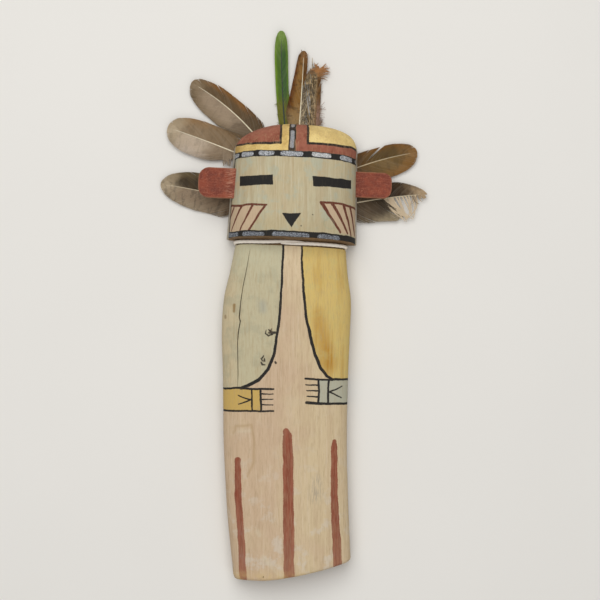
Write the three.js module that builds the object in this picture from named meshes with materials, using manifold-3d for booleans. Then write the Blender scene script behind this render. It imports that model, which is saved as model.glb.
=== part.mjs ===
// Kachina doll: a flat-backed carved wooden figure lying on its back, in millimetres.
// +X is the right of someone who looks down on it, +Y runs towards the head, +Z is up, out of its face.
// The origin is on the flat back, half way along the carving.

import * as THREE from 'three';
import { LoftGeometry } from 'three/addons/geometries/LoftGeometry.js';
import { mergeVertices } from 'three/addons/utils/BufferGeometryUtils.js';
import Module from 'manifold-3d';

// Driving sizes of the carving
const figureLength = 226; // sole to top of crown
const headLength = 58.5; // underside of the head to top of crown
const crownRise = 14.3; // height of the rounded crown above its band
const headTurn = THREE.MathUtils.degToRad( 2.5 ); // the head leans to the right
const headShift = 2.8; // neck centre, right of the body's middle
const headHalfWidth = 32.8; // at its underside
const headTaper = 1.5; // the head is this much narrower on each side at its top
const headDepth = 32; // back plane of the body to the nose
const headSide = 9; // height of the straight side under the rounded face
const headSideDraft = 0.8; // how far that side leans in
const headTilt = 0.075; // the face rises this much towards the crown for each mm of depth
const undersideRise = 0.4; // the underside of the head rises this much outwards
const wornEdge = 0.6; // small rounding under the head and over the shoulders
const backRelief = 3.5; // the back of the head stands this far above the back of the body
const cornerRadius = 1.2; // worn back edges
const cornerBend = 0.3; // share of that radius that a corner keeps, 0.29 is an arc
const bodyHalfWidth = 32;
const bodyDepth = 22.5; // flat back to chest
const bodySide = 9; // height of the body's straight side
const soleRise = 9; // the sole is cut shorter on the right
const soleFlat = 14; // width of the square part of the sole, from its left corner
const soleCurve = 1.5; // how the rest of the sole curves up, 1 is straight
const soleEdge = 1.8; // worn edge around the sole

// The body's outline at shares of its length from sole to neck: how far it reaches to the left and right, in
// shares of its half width, and how far its front stands out, in shares of its depth
const bodyStations = [
  { at: 0, left: 0.819, right: 1.016, front: 0.867 },
  { at: 0.2, left: 0.919, right: 0.975, front: 0.889 },
  { at: 0.4, left: 0.972, right: 0.956, front: 0.911 },
  { at: 0.6, left: 0.988, right: 0.978, front: 0.956 },
  { at: 0.74, left: 1, right: 1.006, front: 0.991 },
  { at: 0.84, left: 0.969, right: 1.019, front: 1 },
  { at: 0.92, left: 0.878, right: 0.969, front: 0.969 },
  { at: 1, left: 0.791, right: 0.938, front: 0.916 },
];

// Roundness of the sections and outlines, 2 is an ellipse and more is squarer
const bodyRoundness = 2.5;
const headRoundness = 2.1;
const crownRoundnessLeft = 2;
const crownRoundnessRight = 3;
const crownRoundnessFront = 2.3;

// The white cord that is tied round the neck
const cordDiameter = 1.8;
const grooveDepth = 1.3; // how deep the neck is cut in below the body

// The two red ears, flat wooden tabs let into the sides of the head. Each stands out from the head's side, up
// above its underside, with its front face top above the back plane.
const leftEar = { stands: 15.6, letIn: 6.6, height: 15.2, up: 27.9, top: 17.5, thickness: 5, corner: 4.6 };
const rightEar = { stands: 17.2, letIn: 6.1, height: 13, up: 30.6, top: 9.2, thickness: 4.6, corner: 3.6 };
const earBevel = 0.7;
const earBow = 0.9; // how far the outer end bulges

const clearance = 0.3; // between pieces that touch

// Feathers, glued behind the head. Each one starts at root, in shares of the head's half width and length,
// and points degrees away from the crown, to the right. Its length is a share of featherLength. Bow, how far
// it is bowed sideways, and lift, how far its tip rises, are shares of its own length. Sink is how far the
// quill bends down just past its root, in quill radii. The vanes are left and right of the quill, seen from
// above with the tip away. A vane grows from one share of the length to full width at the next, is near wide
// towards the root and far wide towards the tip, in shares of the length, and rounds off between the last
// two.
const featherLength = 58;
const quillRadius = 0.5;
const vaneThickness = 0.4;
const quillBend = 0.2; // share of the length in which the quill sinks
const quillTaper = 0.5; // share of its radius that the quill loses towards the tip
const vaneRib = 0.5; // share of the vane's width where it is thickest
const feathers = [
  {
    name: 'feather_left_top', root: [ -0.32, 0.7 ], degrees: -49, length: 0.991, bow: 0.063,
    left: { from: 0.2, full: 0.42, near: 0.183, far: 0.174, round: 0.66, to: 1 },
    right: { from: 0.1, full: 0.3, near: 0.132, far: 0.108, round: 0.7, to: 1 },
    tip: 2.2, sink: 3.2, lift: 0.026, colour: 0x82694a,
  },
  {
    name: 'feather_left_middle', root: [ -0.32, 0.63 ], degrees: -71, length: 0.991, bow: 0.014,
    left: { from: 0.3, full: 0.66, near: 0.165, far: 0.165, round: 0.72, to: 1 },
    right: { from: 0.12, full: 0.4, near: 0.157, far: 0.157, round: 0.7, to: 1 },
    tip: 2.2, sink: 0.6, lift: 0.017, colour: 0x97816a,
  },
  {
    name: 'feather_left_low', root: [ -0.29, 0.29 ], degrees: -80, length: 1.009, bow: 0.015,
    left: { from: 0.15, full: 0.35, near: 0.205, far: 0.162, round: 0.65, to: 1 },
    right: { from: 0.15, full: 0.35, near: 0.162, far: 0.145, round: 0.7, to: 1 },
    tip: 1.9, sink: 3.2, lift: 0.026, colour: 0x76624b,
  },
  {
    name: 'feather_green', root: [ -0.13, 0.8 ], degrees: -5.3, length: 1.038, bow: -0.015,
    left: { from: 0.1, full: 0.3, near: 0.05, far: 0.058, round: 0.72, to: 1 },
    right: { from: 0.1, full: 0.3, near: 0.047, far: 0.058, round: 0.72, to: 1 },
    tip: 2, sink: 3.2, lift: 0.05, colour: 0x55662c,
  },
  {
    name: 'feather_rust', root: [ 0.02, 0.71 ], degrees: 1.4, length: 0.966, bow: 0.005,
    left: { from: 0.1, full: 0.34, near: 0.196, far: 0.046, round: 0.93, to: 1 },
    right: { from: 0.72, full: 0.86, near: 0.036, far: 0.043, round: 0.93, to: 1 },
    tip: 2, sink: 0.6, lift: 0.018, colour: 0x765830,
  },
  {
    name: 'feather_frayed', root: [ 0.27, 0.75 ], degrees: 0.5, length: 0.793, bow: 0.007,
    left: { from: 0.1, full: 0.3, near: 0.15, far: 0.075, round: 0.55, to: 0.93 },
    right: { from: 0.2, full: 0.4, near: 0.052, far: 0.043, round: 0.8, to: 1 },
    tip: 1.6, sink: 3.2, lift: 0.043, colour: 0x7c6448,
  },
  {
    name: 'feather_right_upper', root: [ 0.38, 0.51 ], degrees: 69, length: 0.9, bow: -0.046,
    left: { from: 0.15, full: 0.45, near: 0.134, far: 0.123, round: 0.74, to: 1 },
    right: { from: 0.15, full: 0.4, near: 0.192, far: 0.182, round: 0.68, to: 1 },
    tip: 2.2, sink: 3.2, lift: 0.029, colour: 0x6a4f2f,
  },
  {
    name: 'feather_right_low', root: [ 0.35, 0.28 ], degrees: 78.5, length: 0.976, bow: -0.025,
    left: { from: 0.2, full: 0.45, near: 0.159, far: 0.117, round: 0.8, to: 1 },
    right: { from: 0.15, full: 0.35, near: 0.159, far: 0.247, round: 0.7, to: 0.88 },
    tip: 1.8, sink: 0.6, lift: 0.018, colour: 0x86735c,
  },
];

// How finely the surfaces are cut
const frontSteps = 30;
const backSteps = 6;
const edgeSteps = 3;
const bodySteps = 22;
const faceSteps = 7;
const crownSteps = 9;
const crownEnd = 0.99; // share of its rise where the crown is worn flat
const cordSteps = 48;
const cordSides = 8;
const featherSteps = 15;
const featherEnd = 0.996; // share of its length where the tip is cut

// Values that follow from the sizes above
const crownHalfWidth = headHalfWidth - headTaper;
const soleY = - figureLength / 2;
const headSeatY = figureLength / 2 - headLength;
const crownBase = headLength - crownRise;
const grooveWidth = cordDiameter + 2 * clearance;
const quillLevel = backRelief - clearance - quillRadius;
const cordOffset = cordDiameter / 2 + clearance;

// A place in the head's own frame: across it, up from its underside and out from the back plane
function headPoint( across, up, depth ) {

  const raised = up + headTilt * ( depth - headSide );
  return new THREE.Vector3(
    headShift + across * Math.cos( headTurn ) + raised * Math.sin( headTurn ),
    headSeatY - across * Math.sin( headTurn ) + raised * Math.cos( headTurn ),
    depth,
  );

}

// Smooth value at a share of the body's length, from the stations
function bodyValue( key, share ) {

  const points = bodyStations.map( ( station ) => new THREE.Vector2( station.at, station[ key ] ) );
  let index = points.findIndex( ( point ) => point.x >= share );
  index = THREE.MathUtils.clamp( index, 1, points.length - 1 );
  const before = points[ index - 1 ];
  const after = points[ index ];
  const slopeAt = ( i ) => {

    const previous = points[ Math.max( i - 1, 0 ) ];
    const next = points[ Math.min( i + 1, points.length - 1 ) ];
    return ( next.y - previous.y ) / ( next.x - previous.x );

  };

  const span = after.x - before.x;
  const t = ( share - before.x ) / span;
  const slopes = [ slopeAt( index - 1 ) * span, slopeAt( index ) * span ];
  return ( 2 * t ** 3 - 3 * t ** 2 + 1 ) * before.y
    + ( t ** 3 - 2 * t ** 2 + t ) * slopes[ 0 ]
    + ( 3 * t ** 2 - 2 * t ** 3 ) * after.y
    + ( t ** 3 - t ** 2 ) * slopes[ 1 ];

}

// Half-round section as points across and out: up the left side, over the front and down the right side
function sectionOutline( { left, right, back, side, front, draft, radius, roundness } ) {

  const power = 2 / roundness;
  const bend = radius * cornerBend;
  const points = [ [ - left + radius, back ], [ - left + bend, back + bend ], [ - left, back + radius ] ];
  for ( let step = 0; step <= frontSteps; step ++ ) {

    const angle = Math.PI * ( 1 - step / frontSteps );
    const half = angle > Math.PI / 2 ? left - draft : right - draft;
    const across = Math.sign( Math.cos( angle ) ) * Math.abs( Math.cos( angle ) ) ** power * half;
    points.push( [ across, side + ( front - side ) * Math.abs( Math.sin( angle ) ) ** power ] );

  }

  points.push( [ right, back + radius ], [ right - bend, back + bend ] );
  for ( let step = 0; step < backSteps; step ++ ) {

    points.push( [ THREE.MathUtils.lerp( right - radius, - left + radius, step / backSteps ), back ] );

  }

  return points;

}

// Distance of the sole from the head end, at a place across the body
function soleAt( across ) {

  const left = - bodyStations[ 0 ].left * bodyHalfWidth;
  const width = bodyStations[ 0 ].right * bodyHalfWidth - left;
  const beyond = Math.max( across - left - soleFlat, 0 ) / ( width - soleFlat );
  return soleY + soleRise * beyond ** soleCurve;

}

// Where the body stops under the neck groove, at a place across it and a height
function shoulderAt( across, depth ) {

  const raised = - grooveWidth + headTilt * ( depth - headSide );
  return headSeatY + raised / Math.cos( headTurn ) - ( across - headShift ) * Math.tan( headTurn );

}

// One ring of the body at a share of its length, drawn in by inset and moved along by shift
function bodyRing( share, inset, shift ) {

  const outline = sectionOutline( {
    left: bodyHalfWidth * bodyValue( 'left', share ) - inset,
    right: bodyHalfWidth * bodyValue( 'right', share ) - inset,
    back: 0,
    side: bodySide,
    front: bodyDepth * bodyValue( 'front', share ) - inset,
    draft: 0,
    radius: cornerRadius,
    roundness: bodyRoundness,
  } );
  return outline.map( ( [ across, depth ] ) => {

    const along = THREE.MathUtils.lerp( soleAt( across ), shoulderAt( across, depth ), share );
    return new THREE.Vector3( across, along + shift, depth );

  } );

}

// Sizes of the neck's section, grown by extra, in the head's frame
function neckSection( extra ) {

  const station = bodyStations[ bodyStations.length - 1 ];
  return {
    left: bodyHalfWidth * station.left + headShift - grooveDepth + extra,
    right: bodyHalfWidth * station.right - headShift - grooveDepth + extra,
    back: backRelief - extra,
    side: bodySide,
    front: bodyDepth * station.front - grooveDepth + extra,
    draft: 0,
    radius: cornerRadius + extra,
    roundness: bodyRoundness,
  };

}

function neckRing( up ) {

  return sectionOutline( neckSection( 0 ) ).map( ( [ across, depth ] ) => headPoint( across, up, depth ) );

}

// One ring of the face at a height above the head's underside
function faceRing( up, inset ) {

  const share = up / crownBase;
  const half = headHalfWidth - headTaper * share - inset;
  const outline = sectionOutline( {
    left: half,
    right: half,
    back: backRelief,
    side: headSide,
    front: headDepth - inset,
    draft: headSideDraft,
    radius: cornerRadius,
    roundness: headRoundness,
  } );
  return outline.map( ( [ across, depth ] ) => headPoint( across, up, depth ) );

}

// One ring of the crown at a share of its rise, shrinking to a small worn flat on top
function crownRing( share ) {

  const shrink = ( power ) => ( 1 - share ** power ) ** ( 1 / power );
  const left = crownHalfWidth * shrink( crownRoundnessLeft );
  const right = crownHalfWidth * shrink( crownRoundnessRight );
  const outline = sectionOutline( {
    left,
    right,
    back: backRelief,
    side: headSide,
    front: headSide + ( headDepth - headSide ) * shrink( crownRoundnessFront ),
    draft: headSideDraft * ( 1 - share ),
    radius: cornerRadius,
    roundness: headRoundness,
  } );
  return outline.map( ( [ across, depth ] ) => headPoint( across, crownBase + crownRise * share, depth ) );

}

// Steps round a worn edge, each as how far in and how far along it is
function quarterRound( radius ) {

  const steps = [];
  for ( let step = 0; step <= edgeSteps; step ++ ) {

    const angle = Math.PI / 2 * step / edgeSteps;
    steps.push( [ radius * ( 1 - Math.sin( angle ) ), radius * ( 1 - Math.cos( angle ) ) ] );

  }

  return steps;

}

// Body, neck and head, carved from one root
function figureGeometry() {

  const rings = quarterRound( soleEdge ).map( ( [ inset, along ] ) => bodyRing( 0, inset, along ) );
  for ( let step = 1; step < bodySteps; step ++ ) {

    rings.push( bodyRing( step / bodySteps, 0, 0 ) );

  }

  const shoulder = quarterRound( wornEdge ).reverse();
  rings.push( ...shoulder.map( ( [ inset, along ] ) => bodyRing( 1, inset, - along ) ) );
  rings.push( neckRing( - grooveWidth ), neckRing( 0 ) );
  const underside = quarterRound( wornEdge );
  rings.push( ...underside.map( ( [ inset, along ] ) => faceRing( undersideRise + along, inset ) ) );
  const faceBase = undersideRise + wornEdge;
  for ( let step = 1; step <= faceSteps; step ++ ) {

    rings.push( faceRing( THREE.MathUtils.lerp( faceBase, crownBase, step / faceSteps ), 0 ) );

  }

  for ( let step = 1; step <= crownSteps; step ++ ) {

    rings.push( crownRing( Math.sin( Math.asin( crownEnd ) * step / crownSteps ) ) );

  }

  return new LoftGeometry( rings, { capStart: true, capEnd: true } );

}

// The cord, a closed ring round the bottom of the neck groove
function cordGeometry() {

  const outline = sectionOutline( neckSection( cordOffset ) );
  const around = outline.map( ( [ across, depth ] ) => headPoint( across, - grooveWidth / 2, depth ) );
  const path = new THREE.CatmullRomCurve3( around, true, 'centripetal' );
  const out = new THREE.Vector3().crossVectors(
    headPoint( 1, 0, 0 ).sub( headPoint( 0, 0, 0 ) ),
    headPoint( 0, 0, 1 ).sub( headPoint( 0, 0, 0 ) ),
  ).normalize();
  const rings = [];
  for ( let step = 0; step <= cordSteps; step ++ ) {

    const share = step % cordSteps / cordSteps;
    const centre = path.getPointAt( share );
    const sideways = new THREE.Vector3().crossVectors( out, path.getTangentAt( share ) ).normalize();
    const ring = [];
    for ( let side = 0; side < cordSides; side ++ ) {

      const angle = 2 * Math.PI * side / cordSides;
      const point = centre.clone();
      point.addScaledVector( sideways, cordDiameter / 2 * Math.cos( angle ) );
      point.addScaledVector( out, cordDiameter / 2 * Math.sin( angle ) );
      ring.push( point );

    }

    rings.push( ring );

  }

  return new LoftGeometry( rings, { capStart: false, capEnd: false } );

}

// An ear tab in the head's frame, from its seat inside the head to its rounded end, grown by extra
function earGeometry( ear, extra ) {

  const half = ear.height / 2 + extra - earBevel;
  const side = headHalfWidth - headTaper * ear.up / crownBase;
  const reach = side + ear.stands + extra - earBevel;
  const inner = side - ear.letIn - extra + earBevel;
  const corner = ear.corner;
  const shape = new THREE.Shape();
  shape.moveTo( inner, - half );
  shape.lineTo( reach - corner - earBow, - half );
  shape.quadraticCurveTo( reach - earBow, - half, reach - earBow / 2, - half + corner );
  shape.quadraticCurveTo( reach + earBow / 2, 0, reach - earBow / 2, half - corner );
  shape.quadraticCurveTo( reach - earBow, half, reach - corner - earBow, half );
  shape.lineTo( inner, half );
  shape.closePath();
  const geometry = new THREE.ExtrudeGeometry( shape, {
    depth: ear.thickness + 2 * extra - 2 * earBevel,
    bevelThickness: earBevel,
    bevelSize: earBevel,
    bevelSegments: 2,
    curveSegments: 6,
  } );
  geometry.translate( 0, 0, ear.top - ear.thickness - extra + earBevel );
  return geometry;

}

// Half width of a vane at a share of the feather's length
function vaneWidth( feather, vane, share ) {

  const full = featherLength * feather.length * THREE.MathUtils.lerp( vane.near, vane.far, share );
  const rise = Math.sqrt( THREE.MathUtils.smoothstep( share, vane.from, vane.full ) );
  const past = THREE.MathUtils.clamp( ( share - vane.round ) / ( vane.to - vane.round ), 0, 1 );
  const fall = ( 1 - past ** feather.tip ) ** ( 1 / feather.tip );
  return quillRadius + ( full - quillRadius ) * rise * fall;

}

// A feather as a thin bowed blade with a raised quill, in its own frame: +Y from root to tip
function featherGeometry( feather ) {

  const length = featherLength * feather.length;
  const path = new THREE.QuadraticBezierCurve3(
    new THREE.Vector3( 0, 0, 0 ),
    new THREE.Vector3( 2 * feather.bow * length, length / 2, 0 ),
    new THREE.Vector3( 0, length, 0 ),
  );
  const rings = [];
  for ( let step = 0; step <= featherSteps; step ++ ) {

    const share = featherEnd * Math.sin( Math.PI / 2 * step / featherSteps );
    const centre = path.getPoint( share );
    const sunk = feather.sink * quillRadius * THREE.MathUtils.smoothstep( share, 0, quillBend );
    centre.z = feather.lift * length * share ** 2 - sunk;
    const tangent = path.getTangent( share );
    const leftward = new THREE.Vector3( - tangent.y, tangent.x, 0 ).normalize();
    const left = vaneWidth( feather, feather.left, share );
    const right = vaneWidth( feather, feather.right, share );
    const thick = vaneThickness / 2;
    const ridge = quillRadius * ( 1 - quillTaper * share );
    const outline = [
      [ left, 0 ], [ left * vaneRib, thick ], [ 0, ridge ], [ - right * vaneRib, thick ],
      [ - right, 0 ], [ - right * vaneRib, - thick ], [ 0, - ridge ], [ left * vaneRib, - thick ],
    ];
    rings.push( outline.map( ( [ aside, rise ] ) => {

      const point = centre.clone().addScaledVector( leftward, aside );
      point.z += rise;
      return point;

    } ) );

  }

  return new LoftGeometry( rings, { capStart: true, capEnd: true } );

}

const wasm = await Module();
wasm.setup();

// A closed geometry with shared corners as a solid that can be cut
function toSolid( geometry ) {

  const bare = new THREE.BufferGeometry();
  bare.setAttribute( 'position', geometry.attributes.position );
  bare.setIndex( geometry.index );
  const merged = mergeVertices( bare, 1e-4 );
  return new wasm.Manifold( new wasm.Mesh( {
    numProp: 3,
    vertProperties: new Float32Array( merged.attributes.position.array ),
    triVerts: new Uint32Array( merged.index.array ),
  } ) );

}

function toGeometry( solid ) {

  const mesh = solid.getMesh();
  const geometry = new THREE.BufferGeometry();
  const places = new Float32Array( mesh.vertProperties );
  geometry.setAttribute( 'position', new THREE.BufferAttribute( places, 3 ) );
  geometry.setIndex( new THREE.BufferAttribute( new Uint32Array( mesh.triVerts ), 1 ) );
  geometry.computeVertexNormals();
  return geometry;

}

// Where the head's frame stands in the doll's
function placeOnHead( object ) {

  object.position.set( headShift, headSeatY, 0 );
  object.rotation.z = - headTurn;
  return object;

}

function addMesh( parent, name, geometry, material ) {

  const mesh = new THREE.Mesh( geometry, material );
  mesh.name = name;
  parent.add( mesh );
  return mesh;

}

const doll = new THREE.Group();
const headFrame = placeOnHead( new THREE.Group() );
doll.add( headFrame );

// The mortises that the ears sit in
function mortise( ear, side ) {

  const cutter = earGeometry( ear, clearance );
  const holder = placeOnHead( new THREE.Object3D() );
  holder.updateMatrix();
  if ( side < 0 ) {

    cutter.rotateZ( Math.PI );

  }

  cutter.translate( 0, ear.up, 0 );
  cutter.applyMatrix4( holder.matrix );
  return toSolid( cutter );

}

const carved = toSolid( figureGeometry() )
  .subtract( mortise( leftEar, - 1 ) )
  .subtract( mortise( rightEar, 1 ) );
addMesh( doll, 'figure', toGeometry( carved ), new THREE.MeshStandardMaterial( {
  color: 0xb8ab8a,
  roughness: 0.8,
  metalness: 0,
} ) );

for ( const [ name, ear, side ] of [ [ 'ear_left', leftEar, - 1 ], [ 'ear_right', rightEar, 1 ] ] ) {

  const mesh = addMesh( headFrame, name, earGeometry( ear, 0 ), new THREE.MeshStandardMaterial( {
    color: 0x8b4a37,
    roughness: 0.75,
    metalness: 0,
  } ) );
  mesh.position.y = ear.up;
  mesh.rotation.z = side < 0 ? Math.PI : 0;

}

addMesh( doll, 'neck_cord', cordGeometry(), new THREE.MeshStandardMaterial( {
  color: 0xd8ccba,
  roughness: 0.9,
  metalness: 0,
} ) );

for ( const feather of feathers ) {

  const mesh = addMesh( headFrame, feather.name, featherGeometry( feather ), new THREE.MeshStandardMaterial( {
    color: feather.colour,
    roughness: 0.6,
    metalness: 0,
  } ) );
  mesh.position.set( feather.root[ 0 ] * headHalfWidth, feather.root[ 1 ] * headLength, quillLevel );
  mesh.rotation.z = - THREE.MathUtils.degToRad( feather.degrees );

}

export default doll;
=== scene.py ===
"""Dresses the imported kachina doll: carved and painted wood, red ears, a white neck cord and eight feathers.

Lengths in the tables are millimetres, and MM turns them into Blender's metres. The doll lies on its back,
+Y runs towards its head and +Z comes out of its face.
"""

from collections import namedtuple
import math
import random

import bmesh
import bpy
from mathutils import Matrix, Vector, noise


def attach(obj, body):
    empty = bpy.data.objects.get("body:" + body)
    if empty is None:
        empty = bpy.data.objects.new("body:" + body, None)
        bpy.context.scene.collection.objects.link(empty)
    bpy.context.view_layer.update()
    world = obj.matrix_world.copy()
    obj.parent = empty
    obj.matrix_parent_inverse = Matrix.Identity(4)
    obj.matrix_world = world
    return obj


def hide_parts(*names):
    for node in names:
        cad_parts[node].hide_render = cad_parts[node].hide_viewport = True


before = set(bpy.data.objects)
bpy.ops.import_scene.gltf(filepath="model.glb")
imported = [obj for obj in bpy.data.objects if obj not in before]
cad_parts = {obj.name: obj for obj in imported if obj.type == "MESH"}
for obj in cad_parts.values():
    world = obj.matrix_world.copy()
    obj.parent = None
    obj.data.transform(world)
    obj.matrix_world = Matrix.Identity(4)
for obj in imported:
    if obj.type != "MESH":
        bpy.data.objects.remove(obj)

bl_info = {
    "name": "Kachina Doll Dressing",
    "version": (1, 0, 0),
    "blender": (4, 5, 0),
    "location": "View3D > Sidebar > Doll",
    "description": "Carves, paints and feathers a flat wooden kachina doll over its packed model",
    "category": "Add Mesh",
}

MM = 0.001

# Stage: places and sizes of the lamps, the camera and the floor in metres, and the camera's sensor in
# millimetres
KEY_PLACE = (-0.1, 0.42, 0.95)
KEY_SIZE = 0.9
FILL_PLACE = (0.15, -0.5, 0.9)
FILL_SIZE = 1.1
CAMERA_ACROSS = 0.00705
CAMERA_ALONG = 0.026
CAMERA_SENSOR = 36
FLOOR_HALF = 3

# The carving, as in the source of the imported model
FIGURE_LENGTH = 226
HEAD_LENGTH = 58.5
CROWN_RISE = 14.3
HEAD_TURN = math.radians(2.5)
HEAD_SHIFT = 2.8
HEAD_HALF_WIDTH = 32.8
HEAD_TAPER = 1.5
HEAD_DEPTH = 32
HEAD_SIDE = 9
HEAD_SIDE_DRAFT = 0.8
HEAD_TILT = 0.075
UNDERSIDE_RISE = 0.4
WORN_EDGE = 0.6
BACK_RELIEF = 3.5
CORNER_RADIUS = 1.2
BODY_HALF_WIDTH = 32
BODY_DEPTH = 22.5
BODY_SIDE = 9
SOLE_RISE = 9
SOLE_FLAT = 14
SOLE_CURVE = 1.5
SOLE_EDGE = 1.8
BODY_ROUNDNESS = 2.5
HEAD_ROUNDNESS = 2.1
CROWN_ROUNDNESS = (2, 3, 2.3)
CORD_DIAMETER = 1.8
GROOVE_DEPTH = 1.3
CLEARANCE = 0.3
BODY_STATIONS = (
    (0, 0.819, 1.016, 0.867),
    (0.2, 0.919, 0.975, 0.889),
    (0.4, 0.972, 0.956, 0.911),
    (0.6, 0.988, 0.978, 0.956),
    (0.74, 1, 1.006, 0.991),
    (0.84, 0.969, 1.019, 1),
    (0.92, 0.878, 0.969, 0.969),
    (1, 0.791, 0.938, 0.916),
)
SOLE_Y = -FIGURE_LENGTH / 2
HEAD_SEAT = FIGURE_LENGTH / 2 - HEAD_LENGTH
CROWN_BASE = HEAD_LENGTH - CROWN_RISE
CROWN_HALF_WIDTH = HEAD_HALF_WIDTH - HEAD_TAPER
GROOVE_WIDTH = CORD_DIAMETER + 2 * CLEARANCE
FACE_ARC = 27.7
FACE_RISE = HEAD_DEPTH - HEAD_SIDE

# How finely the carving is cut
FRONT_COLUMNS = 112
WALL_COLUMNS = 6
CORNER_COLUMNS = 3
BACK_COLUMNS = 22
BODY_ROWS = 270
BODY_START = 0.013
BODY_END = 0.996
SHOULDER_ROWS = 3
GROOVE_ROWS = 4
UNDERSIDE_ROWS = 7
FACE_ROWS = 82
CROWN_ROWS = 38
EDGE_ROWS = 5
CROWN_END = 0.99
SOLE_RINGS = (0, 0.1, 0.25, 0.5, 0.75, 0.92, 0.97)
CROWN_RINGS = (0.75, 0.4, 0)

# Where the wood is bare: below these depths at the sides, and how bare it is in the groove, on the edges
# beside it and under the sole
BODY_BARE = 1.2
HEAD_BARE = 4.2
GROOVE_BARE = 2.5
SHOULDER_BARE = 0.8
EDGE_BARE = 0.9
SOLE_BARE = 12
SOLE_PAINTED = 0.6

# The knife work: how fine its broad and its narrow unevenness are, and how much it takes off on the whole
BROAD_WORK = Vector((0.09, 0.035, 0.09))
FINE_WORK = Vector((0.22, 0.07, 0.2))
FINE_SHIFT = Vector((0, 0, 40))
FINE_SHARE = 0.5
WORK_INWARD = 1.2

# The crack in the left sleeve, as places across and along the body, with its half width and depth at each
CRACK = (
    (-17.5, 51.5, 0.08, 0.3),
    (-17.9, 49.7, 0.12, 0.5),
    (-19.2, 42.4, 0.14, 0.6),
    (-21.2, 32.5, 0.16, 0.7),
    (-22.4, 24.4, 0.2, 0.8),
    (-23.0, 17.6, 0.3, 1),
    (-22.5, 15.4, 0.3, 1),
    (-23.5, 10.2, 0.24, 0.9),
    (-23.9, 4.6, 0.2, 0.8),
    (-23.7, -10.2, 0.18, 0.7),
    (-23.9, -17, 0.12, 0.4),
)

# The columns by the crack: where they are round the section, how far round they lean with it, how they are
# spaced, the room that the even columns leave them, how its walls fall and where it runs across the body
CRACK_ANGLE = math.radians(130)
CRACK_REACH = math.radians(36)
CRACK_COLUMNS = (-0.4, -0.25, -0.14, -0.06, 0, 0.06, 0.14, 0.25, 0.4)
CRACK_PITCH = 19.5
CRACK_CLEAR = 1.4
CRACK_FALL = 0.7
CRACK_ACROSS = -20

# Knots that show as small dents: across, along, radius
KNOTS = ((-7.6, 10.6, 1.2), (-10.9, -4, 0.9), (-4.9, -4.6, 0.6))
KNOT_DEPTH = 0.35
KNOT_SPREAD = 1.3
KNOT_MARKS = (
    ((-9.8, 11.2, 0.2), (-9.9, 9.6, 0.3), (-8.4, 8.5, 0.42), (-6.4, 9.2, 0.45)),
    ((-8.6, 11.5, 0.2), (-7.4, 10.4, 0.4), (-5.9, 9.9, 0.7), (-4.5, 9.9, 0.6)),
    ((-8.6, 9.9, 0.3), (-6.8, 9.6, 0.5)),
    ((-7.1, 12, 0.2), (-7.4, 11, 0.3)),
    ((-10.7, -1.4, 0.3), (-11.8, -2.8, 0.5), (-11.5, -4, 0.3)),
    ((-12.1, -4.6, 0.3), (-11.5, -5.9, 0.55), (-10.3, -6, 0.35)),
    ((-10.3, -2.6, 0.25), (-10.1, -4.1, 0.4)),
    ((-5.1, -4.4, 0.5), (-4.8, -4.9, 0.6)),
    ((-10.9, -110.4, 0.2), (-10.9, -110.9, 0.3)),
)

# Ears: side, how far each stands out, how deep it is let in, its height, its middle above the head's seat,
# its front face, thickness, corner radius and how far its end bulges
EARS = {
    "ear_left": (-1, 15.6, 6.6, 15.2, 27.9, 17.5, 5, 4.6, 0.9),
    "ear_right": (1, 17.2, 6.1, 13, 30.6, 9.2, 4.6, 3.6, 0.9),
}

# All ears: steps along and across, how much the knife takes off, how deep its dents and ribs are, how close
# the ribs stand, and where past the head they start and are full
EAR_STEPS = (64, 40)
EAR_INWARD = 0.1
EAR_DENT = 0.13
EAR_RIB = 0.12
EAR_RIB_TURNS = 7.5
EAR_RIBS = (3.2, 0.8)

# Neck cord: columns along its runs, the angles by which its ends pass the middle, steps along and round it,
# its strands, how deep they part, and how far its two ends lie below and above it
CORD_FRONT = 40
CORD_WALL = 5
CORD_CORNER = 3
CORD_BACK = 14
CORD_LAPS = (0.128, 0.16)
CORD_STEPS = 420
CORD_SIDES = 15
CORD_STRANDS = 3
STRAND_DEPTH = 0.09
CORD_SINK = 0.55
CORD_CLIMB = 0.85

# What the feathers share: their quills, the down, how many barbs cling together, and how many of the farther
# torn barbs are left out between two that are kept
FEATHER_LENGTH = 58
LOOSE_STEPS = 7
DOWN_TURNS = (20, 75, -110, 110)
DOWN_COUNT = 35
DOWN_HALF_WIDTH = 0.07
BARB_TILT = 0.07
CLUMP = (5, 16)
QUILL_STEPS = 40
QUILL_SIDES = 10
QUILL_END = 0.95
QUILL_TAPER = 0.84
TORN_GAP = 2
TORN_SPREAD = 1.5
TORN_WIDTH = 0.34
QUILL_RADIUS = 0.5
QUILL_LEVEL = BACK_RELIEF - CLEARANCE - QUILL_RADIUS
QUILL_BEND = 0.2

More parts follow.
